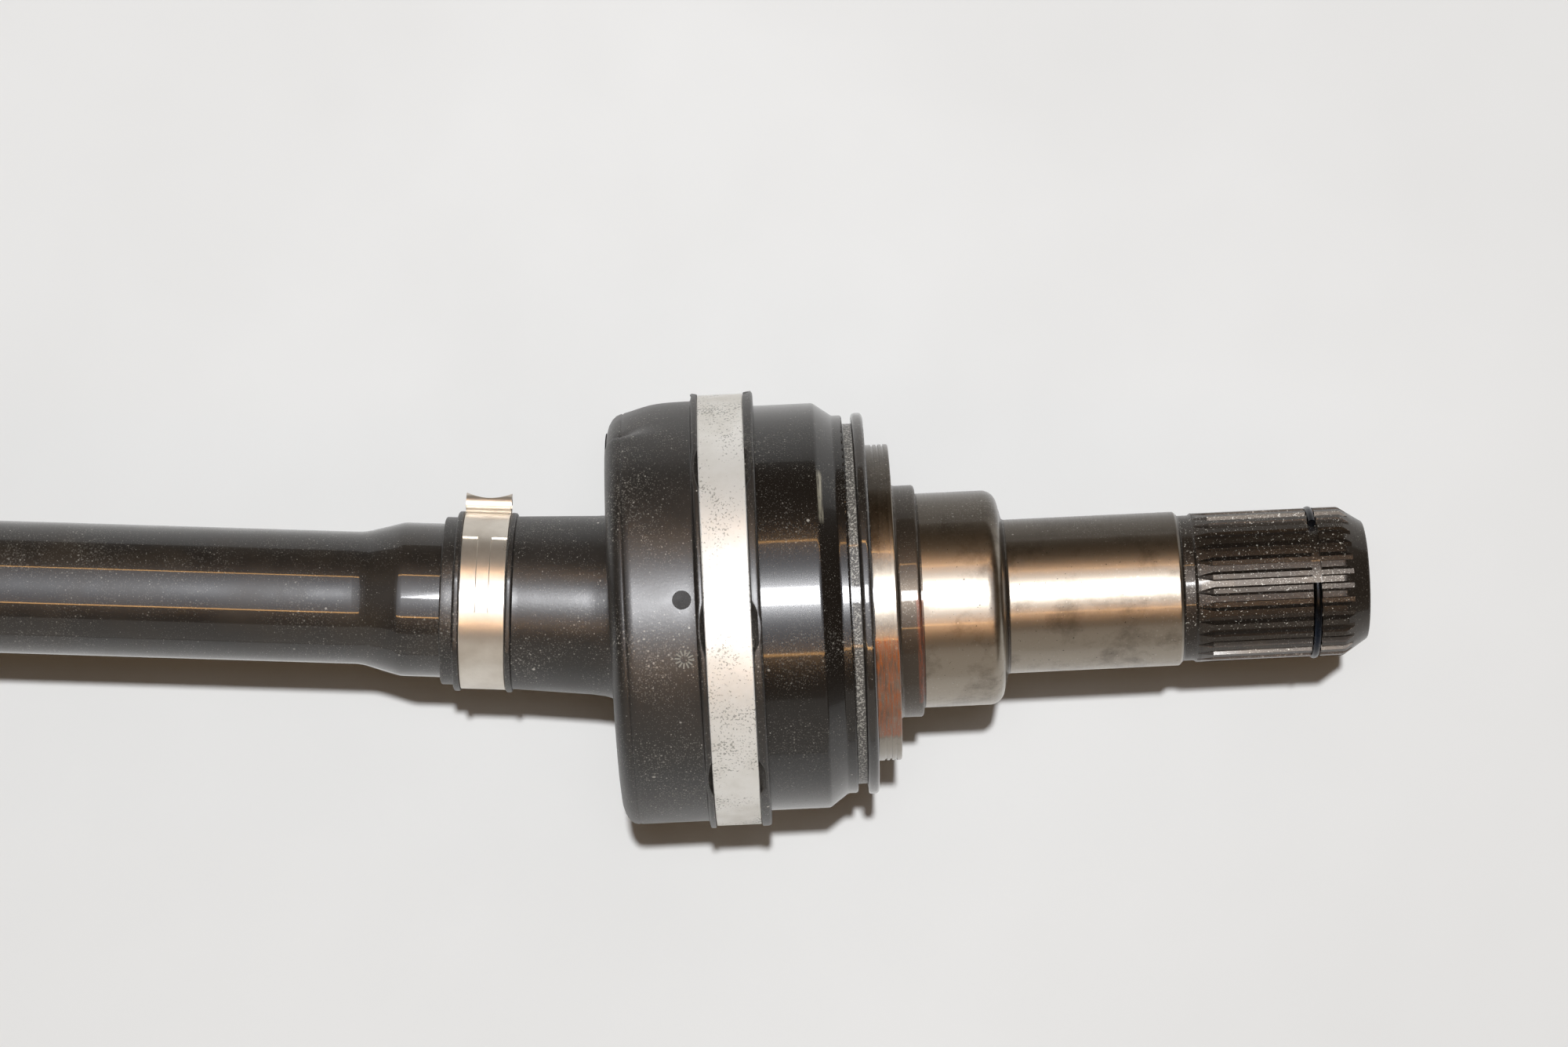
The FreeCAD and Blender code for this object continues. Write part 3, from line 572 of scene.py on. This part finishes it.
def turned(outline: list[Corner], steps: int, longest: float) -> bmesh.types.BMesh:
    """Turn a closed outline about X.

    Args:
        outline: corners as (x, radius) or (x, radius, rounding), in mm.
        steps: facets round the axis.
        longest: the outline is divided so that no stretch is longer, in mm.

    Returns:
        A closed mesh about the origin, in metres.
    """
    shape = bmesh.new()
    corners = [shape.verts.new((corner[0] * MM, corner[1] * MM, 0.0)) for corner in outline]
    for first, second in zip(corners, corners[1:] + corners[:1]):
        shape.edges.new((first, second))
    for vertex, corner in zip(corners, outline):
        if len(corner) > 2:
            bmesh.ops.bevel(shape, geom=[vertex], offset=corner[2] * MM, offset_type="OFFSET", segments=5,
                            profile=0.5, affect="VERTICES", material=-1)
    for edge in shape.edges[:]:
        cuts = int(edge.calc_length() / (longest * MM))
        if cuts:
            bmesh.ops.subdivide_edges(shape, edges=[edge], cuts=cuts)
    bmesh.ops.spin(shape, geom=shape.verts[:] + shape.edges[:], cent=(0, 0, 0), axis=(1, 0, 0),
                   dvec=(0, 0, 0), angle=math.tau, steps=steps, use_merge=True)
    bmesh.ops.remove_doubles(shape, verts=shape.verts[:], dist=1e-7)
    bmesh.ops.recalc_face_normals(shape, faces=shape.faces[:])
    return shape


def finished(name: str, shape: bmesh.types.BMesh, material: bpy.types.Material,
             sharp: float = 40.0) -> bpy.types.Object:
    """Make an object of a mesh, smooth but for its sharp edges.

    Args:
        name: the piece's name.
        shape: the mesh, already in its place; it is used up.
        material: the finish.
        sharp: the angle in degrees from which an edge stays sharp.

    Returns:
        The new object.
    """
    for face in shape.faces:
        face.smooth = True
    for edge in shape.edges:
        edge.smooth = len(edge.link_faces) != 2 or edge.calc_face_angle() < math.radians(sharp)
    mesh = bpy.data.meshes.new(name)
    shape.to_mesh(mesh)
    shape.free()
    obj = bpy.data.objects.new(name, mesh)
    bpy.context.scene.collection.objects.link(obj)
    wear(obj, material)
    log.info("piece %s: %d faces", name, len(mesh.polygons))
    return obj


def smooth_step(value: float) -> float:
    """Ease from 0 to 1 as a value goes from 0 to 1."""
    value = min(max(value, 0.0), 1.0)
    return value * value * (3 - 2 * value)


def facing(place: Vector) -> float:
    """Angle of a point about X in degrees, from straight up towards +Y."""
    return math.degrees(math.atan2(place.y, place.z))


def sink(vertex: bmesh.types.BMVert, depth: float) -> None:
    """Move a point towards the X axis.

    Args:
        vertex: the point, in a mesh about the origin.
        depth: how far, in mm.
    """
    scale = 1 - depth * MM / math.hypot(vertex.co.y, vertex.co.z)
    vertex.co.y *= scale
    vertex.co.z *= scale


def quarter_turn(first: Corner, last: Corner, steps: int = 8) -> list[Corner]:
    """A quarter of an ellipse, from a radial start to an end along the axis.

    Args:
        first: where it starts, as x and radius.
        last: where it ends.
        steps: stretches that it is drawn with.

    Returns:
        Its corners from first to last.
    """
    corners = []
    for step in range(steps + 1):
        angle = math.pi / 2 * step / steps
        corners.append((first[0] + (last[0] - first[0]) * (1 - math.cos(angle)),
                        first[1] + (last[1] - first[1]) * math.sin(angle)))
    return corners


@dataclass(frozen=True)
class BandSeat:
    """The groove under a boot's wide band, with a lip at each side. Sizes in mm from the joint's centre."""

    near: float
    far: float
    bore: float
    floor: float
    lip: float
    near_lip: float = 2.2
    far_lip: float = 1.2
    near_round: float = 0.8
    far_round: float = 0.5
    edge_round: float = 0.3

    def outline(self) -> list[Corner]:
        """Its corners from the boot's open end to the far lip.

        Returns:
            The corners of half a section.
        """
        way = math.copysign(1, self.far - self.near)
        mouth = self.near - way * self.near_lip
        end = self.far + way * self.far_lip
        return [(mouth, self.bore), (mouth, self.lip, self.near_round),
                (self.near, self.lip, self.edge_round), (self.near, self.floor), (self.far, self.floor),
                (self.far, self.lip, self.edge_round), (end, self.lip, self.far_round)]


@dataclass(frozen=True)
class Collar:
    """The end of a boot under its ear clamp, with a lip at each side and a tail. Sizes in mm."""

    start: float
    way: int
    width: float = 10.5
    radius: float = 19.2
    bore: float = 17.72
    lip: float = 20.6
    lip_width: float = 1.5
    lip_round: float = 0.6
    edge_round: float = 0.4
    tail: float = 2.9
    root: float = 19.8

    def outline(self) -> list[Corner]:
        """Its corners from the first lip, round the tail and back along the bore.

        Returns:
            The corners of half a section.
        """
        end = self.start + self.way * self.width
        before = self.start - self.way * self.lip_width
        after = end + self.way * self.lip_width
        tail = after + self.way * self.tail
        return [(before, self.lip, self.lip_round), (self.start, self.lip, self.edge_round),
                (self.start, self.radius), (end, self.radius), (end, self.lip, self.edge_round),
                (after, self.lip, self.lip_round), (after, self.radius), (tail, self.radius, self.edge_round),
                (tail, self.bore), (before - self.way, self.bore)]


@dataclass(frozen=True)
class Dent:
    """A dent in the boot's far edge, with a small pit at its lower end. Sizes in mm and degrees."""

    x: float = -26.0
    width: float = 7.0
    depth: float = 3.0
    low: float = 56.5
    rise: float = 7.0
    high: float = 82.0
    fade: float = 22.0
    pit_x: float = -23.4
    pit_angle: float = 60.5
    pit_depth: float = 1.5
    pit_size: float = 1.9
    inmost: float = 42.0

    def depth_at(self, x: float, angle: float, radius: float) -> float:
        """How deep the rubber is pressed in at a point.

        Args:
            x: place along the axis.
            angle: angle about the axis, from straight up.
            radius: radius of the boot there.

        Returns:
            The depth in mm.
        """
        # A hollow with an abrupt lower edge, which fades out beyond the silhouette
        fade = math.exp(-(max(angle - self.high, 0.0) / self.fade) ** 2)
        hollow = self.depth * smooth_step((angle - self.low) / self.rise) * fade
        hollow *= math.exp(-((x - self.x) / self.width) ** 2)
        pit = math.hypot(x - self.pit_x, math.radians(angle - self.pit_angle) * radius)
        return hollow + self.pit_depth * math.exp(-(pit / self.pit_size) ** 2)


@dataclass(frozen=True)
class MouldMark:
    """A round mark on the boot: its angle from straight up, its strokes, and how far out they lie in mm."""

    angle: float
    strokes: int
    spread: float


MOULD_MARKS = (MouldMark(4.0, 1, 0.0), MouldMark(-11.6, 12, 1.5))


@dataclass
class InboardBoot:
    """Rolling boot of the plunging joint, in three pieces that meet in its folds. Sizes in mm."""

    rubber: bpy.types.Material
    band: BandSeat = BandSeat(4.5, -6.0, 46.5, 48.35, 49.85)
    collar: Collar = Collar(-51.4, -1)
    dented: Dent = Dent()
    # Body, rim and the step down from the band's far lip
    body: float = 48.15
    rim: float = -27.1
    rim_round: float = 5.5
    rim_face: float = 38.2
    face_round: float = 2.5
    rim_back: float = 38.9
    back_round: float = 1.0
    wall: float = 2.4
    inner_round: float = 3.0
    step: float = 0.4
    step_round: float = 0.3
    bore_step: float = 0.2
    bore_slope: float = 1.0
    # Fine sunk line round the body
    line_offset: float = 3.8
    line_half: float = 0.35
    line_depth: float = 0.22
    # Fold, dome and neck
    fold_x: float = -24.1
    fold_radius: float = 34.6
    fold_rise: float = 0.8
    roll_end: float = -22.4
    roll_radius: float = 29.5
    neck_start: float = -28.5
    bend_margin: float = 1.4
    neck_root: float = 20.5
    root_rise: float = 0.3
    root_length: float = 3.0
    neck_bore: float = 18.4
    bore_lead: float = 0.6
    # Notches in the lips and slits in the collar, their places in degrees
    notches: int = 8
    first_notch: float = 41.0
    notch_half: float = 7.0
    notch_share: float = 0.75
    notch_follow: float = 0.4
    slit_middle: float = -9.0
    slit_half: float = 24.0
    slit_depth: float = 1.1
    # Mould marks, and a stroke's length, width and height
    mark: float = 2.1
    mark_x: float = -10.7
    mark_depth: float = 0.25
    stroke: tuple[float, float, float] = (1.3, 0.36, 0.45)
    stroke_rise: float = 0.12
    stroke_turn: float = 0.4
    # Fineness of the meshes
    facets: int = 240
    shell_stretch: float = 1.6
    roll_stretch: float = 0.7
    neck_facets: int = 200
    neck_stretch: float = 1.5

    def shell(self) -> bpy.types.Object:
        """The wide body with its two lips.

        Returns:
            The piece, riding on the housing.
        """
        outline = self.band.outline()
        left = outline[-1][0]
        inner = self.rim + self.wall
        line = self.rim + self.line_offset
        outline += [
            (left - self.step, self.body, self.step_round), (line + self.line_half, self.body),
            (line, self.body - self.line_depth), (line - self.line_half, self.body),
            (self.rim, self.body, self.rim_round), (self.rim, self.rim_face, self.face_round),
            (self.fold_x, self.fold_radius), (self.fold_x + self.wall, self.fold_radius + self.fold_rise),
            (inner, self.rim_back, self.back_round), (inner, self.body - self.wall, self.inner_round),
            (left - self.bore_step - self.bore_slope, self.body - self.wall),
            (left - self.bore_step, self.band.bore)]
        shape = turned(outline, self.facets, self.shell_stretch)
        for vertex in shape.verts:
            self.notch(vertex)
            self.dent(vertex)
        bmesh.ops.transform(shape, matrix=HOUSING_PLACE, verts=shape.verts[:])
        obj = finished("inboard_boot_shell", shape, self.rubber, 50.0)
        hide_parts("inboard_boot")
        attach(obj, Body.HOUSING.value)
        return obj

    def notch(self, vertex: bmesh.types.BMVert) -> None:
        """Draw a lip back from the band where it has one of its lens-shaped notches.

        Args:
            vertex: a point of the shell.
        """
        if math.hypot(vertex.co.y, vertex.co.z) / MM < self.band.floor + 0.3:
            return
        step = 360.0 / self.notches
        off = (facing(vertex.co) - self.first_notch + step / 2) % step - step / 2
        if abs(off) > self.notch_half:
            return
        depth = 1 - (off / self.notch_half) ** 2
        x = vertex.co.x / MM
        edges = ((self.band.far, -1, self.band.far_lip), (self.band.near, 1, self.band.near_lip))
        for edge, way, width in edges:
            inward = (x - edge) * way
            if -0.01 < inward < width * 0.5:
                vertex.co.x += way * depth * width * self.notch_share * MM
            elif inward >= width * 0.5 and inward < width + 0.01 and way < 0:
                vertex.co.x += way * depth * self.notch_follow * MM

    def dent(self, vertex: bmesh.types.BMVert) -> None:
        """Press in the dent that the boot's far edge has.

        Args:
            vertex: a point of the shell; those of the fold inside it stay where they are.
        """
        if math.hypot(vertex.co.y, vertex.co.z) < self.dented.inmost * MM:
            return
        sink(vertex, self.dented.depth_at(vertex.co.x / MM, facing(vertex.co), self.body))

    def roll(self) -> bpy.types.Object:
        """The fold between the body and the dome, which rolls as the joint plunges.

        Returns:
            The piece, in its place about the housing's axis.
        """
        outline = [
            (self.fold_x, self.fold_radius), (self.roll_end, self.roll_radius),
            (self.roll_end, self.roll_radius - self.wall),
            (self.fold_x + self.wall, self.fold_radius + self.fold_rise)]
        shape = turned(outline, self.facets, self.roll_stretch)
        bmesh.ops.transform(shape, matrix=HOUSING_PLACE, verts=shape.verts[:])
        obj = finished("inboard_boot_roll", shape, self.rubber, 60.0)
        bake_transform(obj)
        return obj

    def neck(self) -> bpy.types.Object:
        """The dome, the long neck and the collar under the ear clamp.

        Returns:
            The piece, turned from the housing's axis at the dome to the bar's at the collar.
        """
        outer = quarter_turn((self.roll_end, self.roll_radius),
                             (self.neck_start, self.neck_root + self.root_rise))
        inner = quarter_turn((self.roll_end, self.roll_radius - self.wall), (self.neck_start, self.neck_bore))
        inner.reverse()
        first, root = outer[0][0], outer[-1][0]
        collar = self.collar.outline()
        outline = outer + [(root - self.root_length, self.neck_root), (collar[0][0], self.collar.root, 0.2)]
        outline += collar + [(inner[0][0] + self.bore_lead, self.neck_bore)] + inner
        shape = turned(outline, self.neck_facets, self.neck_stretch)
        for vertex in shape.verts:
            share = smooth_step((vertex.co.x / MM - first) / (root - first))
            turn = Matrix.Rotation(REST_BEND * (1 - share), 4, "Z")
            vertex.co = turn @ vertex.co
            self.slit(vertex)
        bmesh.ops.translate(shape, vec=INBOARD, verts=shape.verts[:])
        obj = finished("inboard_boot_neck", shape, self.rubber, 50.0)
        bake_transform(obj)
        return obj

    def slit(self, vertex: bmesh.types.BMVert) -> None:
        """Sink the short slits that the collar's lips have beside the clamp.

        Args:
            vertex: a point of the neck, about the joint's centre.
        """
        collar = self.collar
        past = -vertex.co.x / MM + collar.start
        beside = -collar.lip_width < past < 0.01 or -0.01 < past - collar.width < collar.lip_width
        off = (facing(vertex.co) - self.slit_middle) / self.slit_half
        above = math.hypot(vertex.co.y, vertex.co.z) > (collar.radius + 0.3) * MM
        if beside and above and abs(off) < 1:
            sink(vertex, self.slit_depth * (1 - off * off))

    def stamps(self, dark: bpy.types.Material, pale: bpy.types.Material) -> None:
        """Two plain round mould marks on the body: a dial with a pointer, and a ring of strokes.

        Args:
            dark: the finish of the dial.
            pale: the finish of the ring.
        """
        long, wide, high = (side * MM for side in self.stroke)
        for number, mark in enumerate(MOULD_MARKS, 1):
            shape = bmesh.new()
            if mark.spread == 0:
                bmesh.ops.create_cone(shape, cap_ends=True, segments=40, radius1=self.mark * MM,
                                      radius2=self.mark * MM, depth=self.mark_depth * MM)
            for stroke in range(mark.strokes):
                made = bmesh.ops.create_cube(
                    shape, size=1.0, matrix=Matrix.Translation((mark.spread * MM, 0, self.stroke_rise * MM))
                    @ Matrix.Diagonal((long, wide, high, 1)))
                turn = self.stroke_turn + math.tau * stroke / mark.strokes
                bmesh.ops.rotate(shape, verts=made["verts"], cent=(0, 0, 0),
                                 matrix=Matrix.Rotation(turn, 3, "Z"))
            bmesh.ops.recalc_face_normals(shape, faces=shape.faces[:])
            place = (HOUSING_PLACE @ Matrix.Rotation(math.radians(-mark.angle), 4, "X")
                     @ Matrix.Translation((self.mark_x * MM, 0, self.body * MM)))
            bmesh.ops.transform(shape, matrix=place, verts=shape.verts[:])
            obj = finished(f"boot_mould_mark_{number}", shape, dark if mark.spread == 0 else pale)
            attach(obj, Body.HOUSING.value)


@dataclass
class OutboardBoot:
    """Pleated boot of the fixed joint. Sizes in mm from the joint's centre towards the bar."""

    rubber: bpy.types.Material
    band: BandSeat = BandSeat(3.5, 14.0, 46.6, 48.45, 49.95)
    collar: Collar = Collar(96.0, 1)
    body: float = 48.3
    folds: int = 6
    fold_start: float = 22.0
    fold_pitch: float = 11.5
    fold_round: float = 1.6
    first_crest: float = 46.5
    last_crest: float = 25.5
    first_depth: float = 11.0
    last_depth: float = 5.5
    wall: float = 2.6
    step: float = 1.6
    bore_step: float = 1.0
    facets: int = 144
    stretch: float = 2.0
    bend_start: float = 18.0
    bend_margin: float = 4.0

    def pleats(self) -> list[Corner]:
        """Crests and valleys that shrink towards the bar.

        Returns:
            Their corners from the band to the collar.
        """
        corners = []
        for number in range(self.folds):
            share = number / (self.folds - 1)
            crest = self.first_crest + (self.last_crest - self.first_crest) * share
            depth = self.first_depth + (self.last_depth - self.first_depth) * share
            top = self.body if number == 0 else crest
            x = self.fold_start + self.fold_pitch * number
            corners.append((x, top, self.fold_round))
            corners.append((x + self.fold_pitch / 2, crest - depth, self.fold_round))
        return corners

    def build(self) -> bpy.types.Object:
        """The whole boot as one pleated shell.

        Returns:
            The piece, in its place about the outboard joint's centre.
        """
        pleats = self.pleats()
        collar = self.collar.outline()
        outline = self.band.outline() + [(self.band.far + self.step, self.body)] + pleats
        outline += [(collar[0][0], self.collar.root)] + collar
        outline += [(x, radius - self.wall, rounding) for x, radius, rounding in reversed(pleats[1:])]
        outline.append((self.fold_start - self.bore_step, self.band.bore))
        shape = turned(outline, self.facets, self.stretch)
        bmesh.ops.translate(shape, vec=OUTBOARD, verts=shape.verts[:])
        obj = finished("outboard_boot_pleats", shape, self.rubber, 60.0)
        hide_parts("outboard_boot")
        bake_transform(obj)
        return obj


@dataclass
class HubThread:
    """The screw thread at the hub end. Sizes in mm from the joint's centre, outwards."""

    metal: bpy.types.Material
    start: float = 89.0
    end: float = 112.0
    radius: float = 12.0
    pitch: float = 1.5
    height: float = 0.45
    sunk: float = 0.15
    foot_share: float = 0.42
    crest_share: float = 0.2
    steps_each_turn: int = 40

    def build(self) -> bpy.types.Object:
        """One ridge wound about the shank.

        Returns:
            The piece, riding on the bell.
        """
        shape = bmesh.new()
        low = (self.radius - self.sunk) * MM
        high = (self.radius + self.height) * MM
        foot = self.pitch * self.foot_share * MM
        crest = foot * self.crest_share
        begin = -self.start * MM
        corners = [shape.verts.new((begin + x, radius, 0)) for x, radius in
                   ((-foot, low), (-crest, high), (crest, high), (foot, low))]
        face = shape.faces.new(corners)
        turns = (self.end - self.start) / self.pitch
        steps = int(turns * self.steps_each_turn)
        bmesh.ops.spin(shape, geom=[face] + face.edges[:] + face.verts[:], cent=(0, 0, 0), axis=(1, 0, 0),
                       dvec=(-self.pitch * turns / steps * MM, 0, 0), angle=math.tau * turns, steps=steps)
        bmesh.ops.recalc_face_normals(shape, faces=shape.faces[:])
        bmesh.ops.translate(shape, vec=OUTBOARD, verts=shape.verts[:])
        obj = finished("hub_thread", shape, self.metal, 30.0)
        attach(obj, Body.BELL.value)
        return obj


@dataclass
class Hardware:
    """The solids that keep their own shape and only get a finish, by the record's slot names."""

    materials: dict[str, bpy.types.Material]
    forged: bpy.types.Material

    def dress(self) -> None:
        """Give each solid its material, and the inboard forging its own."""
        for entry in frame["record"]["subparts"]:
            wear(frame["nodes"][entry["node"]], self.materials[entry["material_slot"]])
            log.info("solid %s: %s", entry["node"], entry["material_slot"])
        wear(frame["nodes"]["inboard_outer_race"], self.forged)


@dataclass
class Studio:
    """Table top, lamps and camera. Lengths in metres from the inboard joint, angles in degrees."""

    floor_z: float
    table_half: float = 6.0
    key_tilt: float = 9.2
    key_distance: float = 1.3
    panel_height: float = 1.25
    panel_near: float = -25.0
    panel_far: float = 37.0
    panel_middle: float = 0.24
    panel_length: float = 1.72
    edge_drop: float = 0.02
    edge_width: float = 0.04
    camera_height: float = 1.17
    roll: float = 1.76
    ahead: float = 0.0117
    aside: float = 0.0197
    lens: float = 117.0

    def table(self) -> None:
        """A plain pale table top under the part."""
        shape = bmesh.new()
        bmesh.ops.create_grid(shape, x_segments=1, y_segments=1, size=self.table_half,
                              matrix=Matrix.Translation((0, 0, self.floor_z)))
        obj = finished("table_top", shape, TABLE.material())
        obj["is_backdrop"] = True

    def lamp(self, name: str, kind: LampKind, power: float, colour: str, place: Vector, look: Vector,
             size: tuple[float, float]) -> None:
        """Add one lamp. The sun gives no gloss, and the areas show only in gloss.

        Args:
            name: the lamp's name.
            kind: a sun or an area.
            power: strength, in W/m2 for a sun and W for an area.
            colour: sRGB hex.
            place: where it stands.
            look: the point that it faces.
            size: a sun's angle in degrees first, or an area's two sides in metres.
        """
        data = bpy.data.lights.new(name, kind.value)
        data.energy = power
        data.color = linear(colour)[:3]
        obj = bpy.data.objects.new(name, data)
        if kind is LampKind.SUN:
            data.angle = math.radians(size[0])
            obj.visible_glossy = False
        else:
            data.shape = "RECTANGLE"
            data.size, data.size_y = size
            obj.visible_diffuse = False
        obj.location = place
        obj.rotation_euler = (look - place).to_track_quat("-Z", "Y").to_euler()
        bpy.context.scene.collection.objects.link(obj)

    def lamps(self) -> None:
        """A hard key beside the camera, and a flash cap, a wall and a warm-edged panel for the gloss."""
        target = INBOARD.copy()
        down = Vector((0, 0, -1))
        tilt = math.radians(self.key_tilt)
        key = target + Vector((0, math.sin(tilt), math.cos(tilt))) * self.key_distance
        self.lamp("key", LampKind.SUN, power=2.66, colour="#fbfdff", place=key, look=target, size=(2.0, 0))
        cap = target + Vector((0.02, 0.14, 1.2))
        self.lamp("flash_cap", LampKind.AREA, power=12.0, colour="#fbfcff", place=cap, look=target,
                  size=(0.34, 0.2))
        wall = target + Vector((0.0, -1.4, 0.5))
        self.lamp("wall_bounce", LampKind.AREA, power=4.8, colour="#f6f3ee", place=wall, look=target,
                  size=(3.0, 1.0))
        near, far = (self.panel_height * math.tan(math.radians(angle))
                     for angle in (self.panel_near, self.panel_far))
        middle = target + Vector((self.panel_middle, (near + far) / 2, self.panel_height))
        self.lamp("panel", LampKind.AREA, power=7.9, colour="#eaf1ff", place=middle, look=middle + down,
                  size=(self.panel_length, far - near))
        for side, y in (("near", near), ("far", far)):
            edge = target + Vector((self.panel_middle, y, self.panel_height - self.edge_drop))
            self.lamp(f"warm_edge_{side}", LampKind.AREA, power=3.4, colour="#ffbe6e", place=edge,
                      look=edge + down, size=(self.panel_length, self.edge_width))

    def world(self) -> None:
        """A dim warm room, and a pale one where the camera looks past the table."""
        world = bpy.data.worlds.new("room")
        bpy.context.scene.world = world
        world.use_nodes = True
        tree = world.node_tree
        tree.nodes.clear()
        path = add(tree, "ShaderNodeLightPath", {})
        room = add(tree, "ShaderNodeBackground", {"Color": linear("#e8b872"), "Strength": 0.075})
        pale = add(tree, "ShaderNodeBackground", {"Color": linear("#f0f0ee"), "Strength": 0.95})
        mix = add(tree, "ShaderNodeMixShader", {},
                  {0: path.outputs["Is Camera Ray"], 1: room.outputs[0], 2: pale.outputs[0]})
        add(tree, "ShaderNodeOutputWorld", {}, {"Surface": mix.outputs[0]})

    def camera(self) -> None:
        """Look straight down on the inboard joint, as the photograph does."""
        data = bpy.data.cameras.new("camera")
        data.lens = self.lens
        data.sensor_width = 36.0
        data.clip_start = 0.01
        data.dof.use_dof = False
        obj = bpy.data.objects.new("camera", data)
        turn = math.radians(self.roll)
        right = Vector((math.cos(turn), math.sin(turn), 0))
        up = Vector((-math.sin(turn), math.cos(turn), 0))
        obj.location = INBOARD + right * self.ahead + up * self.aside + Vector((0, 0, self.camera_height))
        obj.rotation_euler = (0, 0, turn)
        bpy.context.scene.collection.objects.link(obj)
        bpy.context.scene.camera = obj


def main() -> None:
    """Build and dress the drive shaft, light it and set the camera."""
    cad_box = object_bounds()
    bpy.context.scene.view_settings.view_transform = "Standard"
    rubber = RUBBER.material()
    lacquer = LACQUER.material()
    materials = {
        "black_steel": lacquer, "rubber": rubber, "zinc_band": ZINC.material(),
        "stainless_band": STAINLESS.material(), "machined_steel": GROUND.material(),
        "blued_wire": BLUED.material(), "ball_steel": POLISHED.material()}
    Hardware(materials, FORGED.material()).dress()
    boot = InboardBoot(rubber)
    boot.shell()
    boot.roll()
    boot.neck()
    boot.stamps(MARK.material(), PALE_MARK.material())
    OutboardBoot(rubber).build()
    HubThread(lacquer).build()
    low, high = cad_box
    studio = Studio(floor_z=low[2])
    studio.table()
    studio.lamps()
    studio.world()
    studio.camera()


if __name__ == "__main__":
    main()
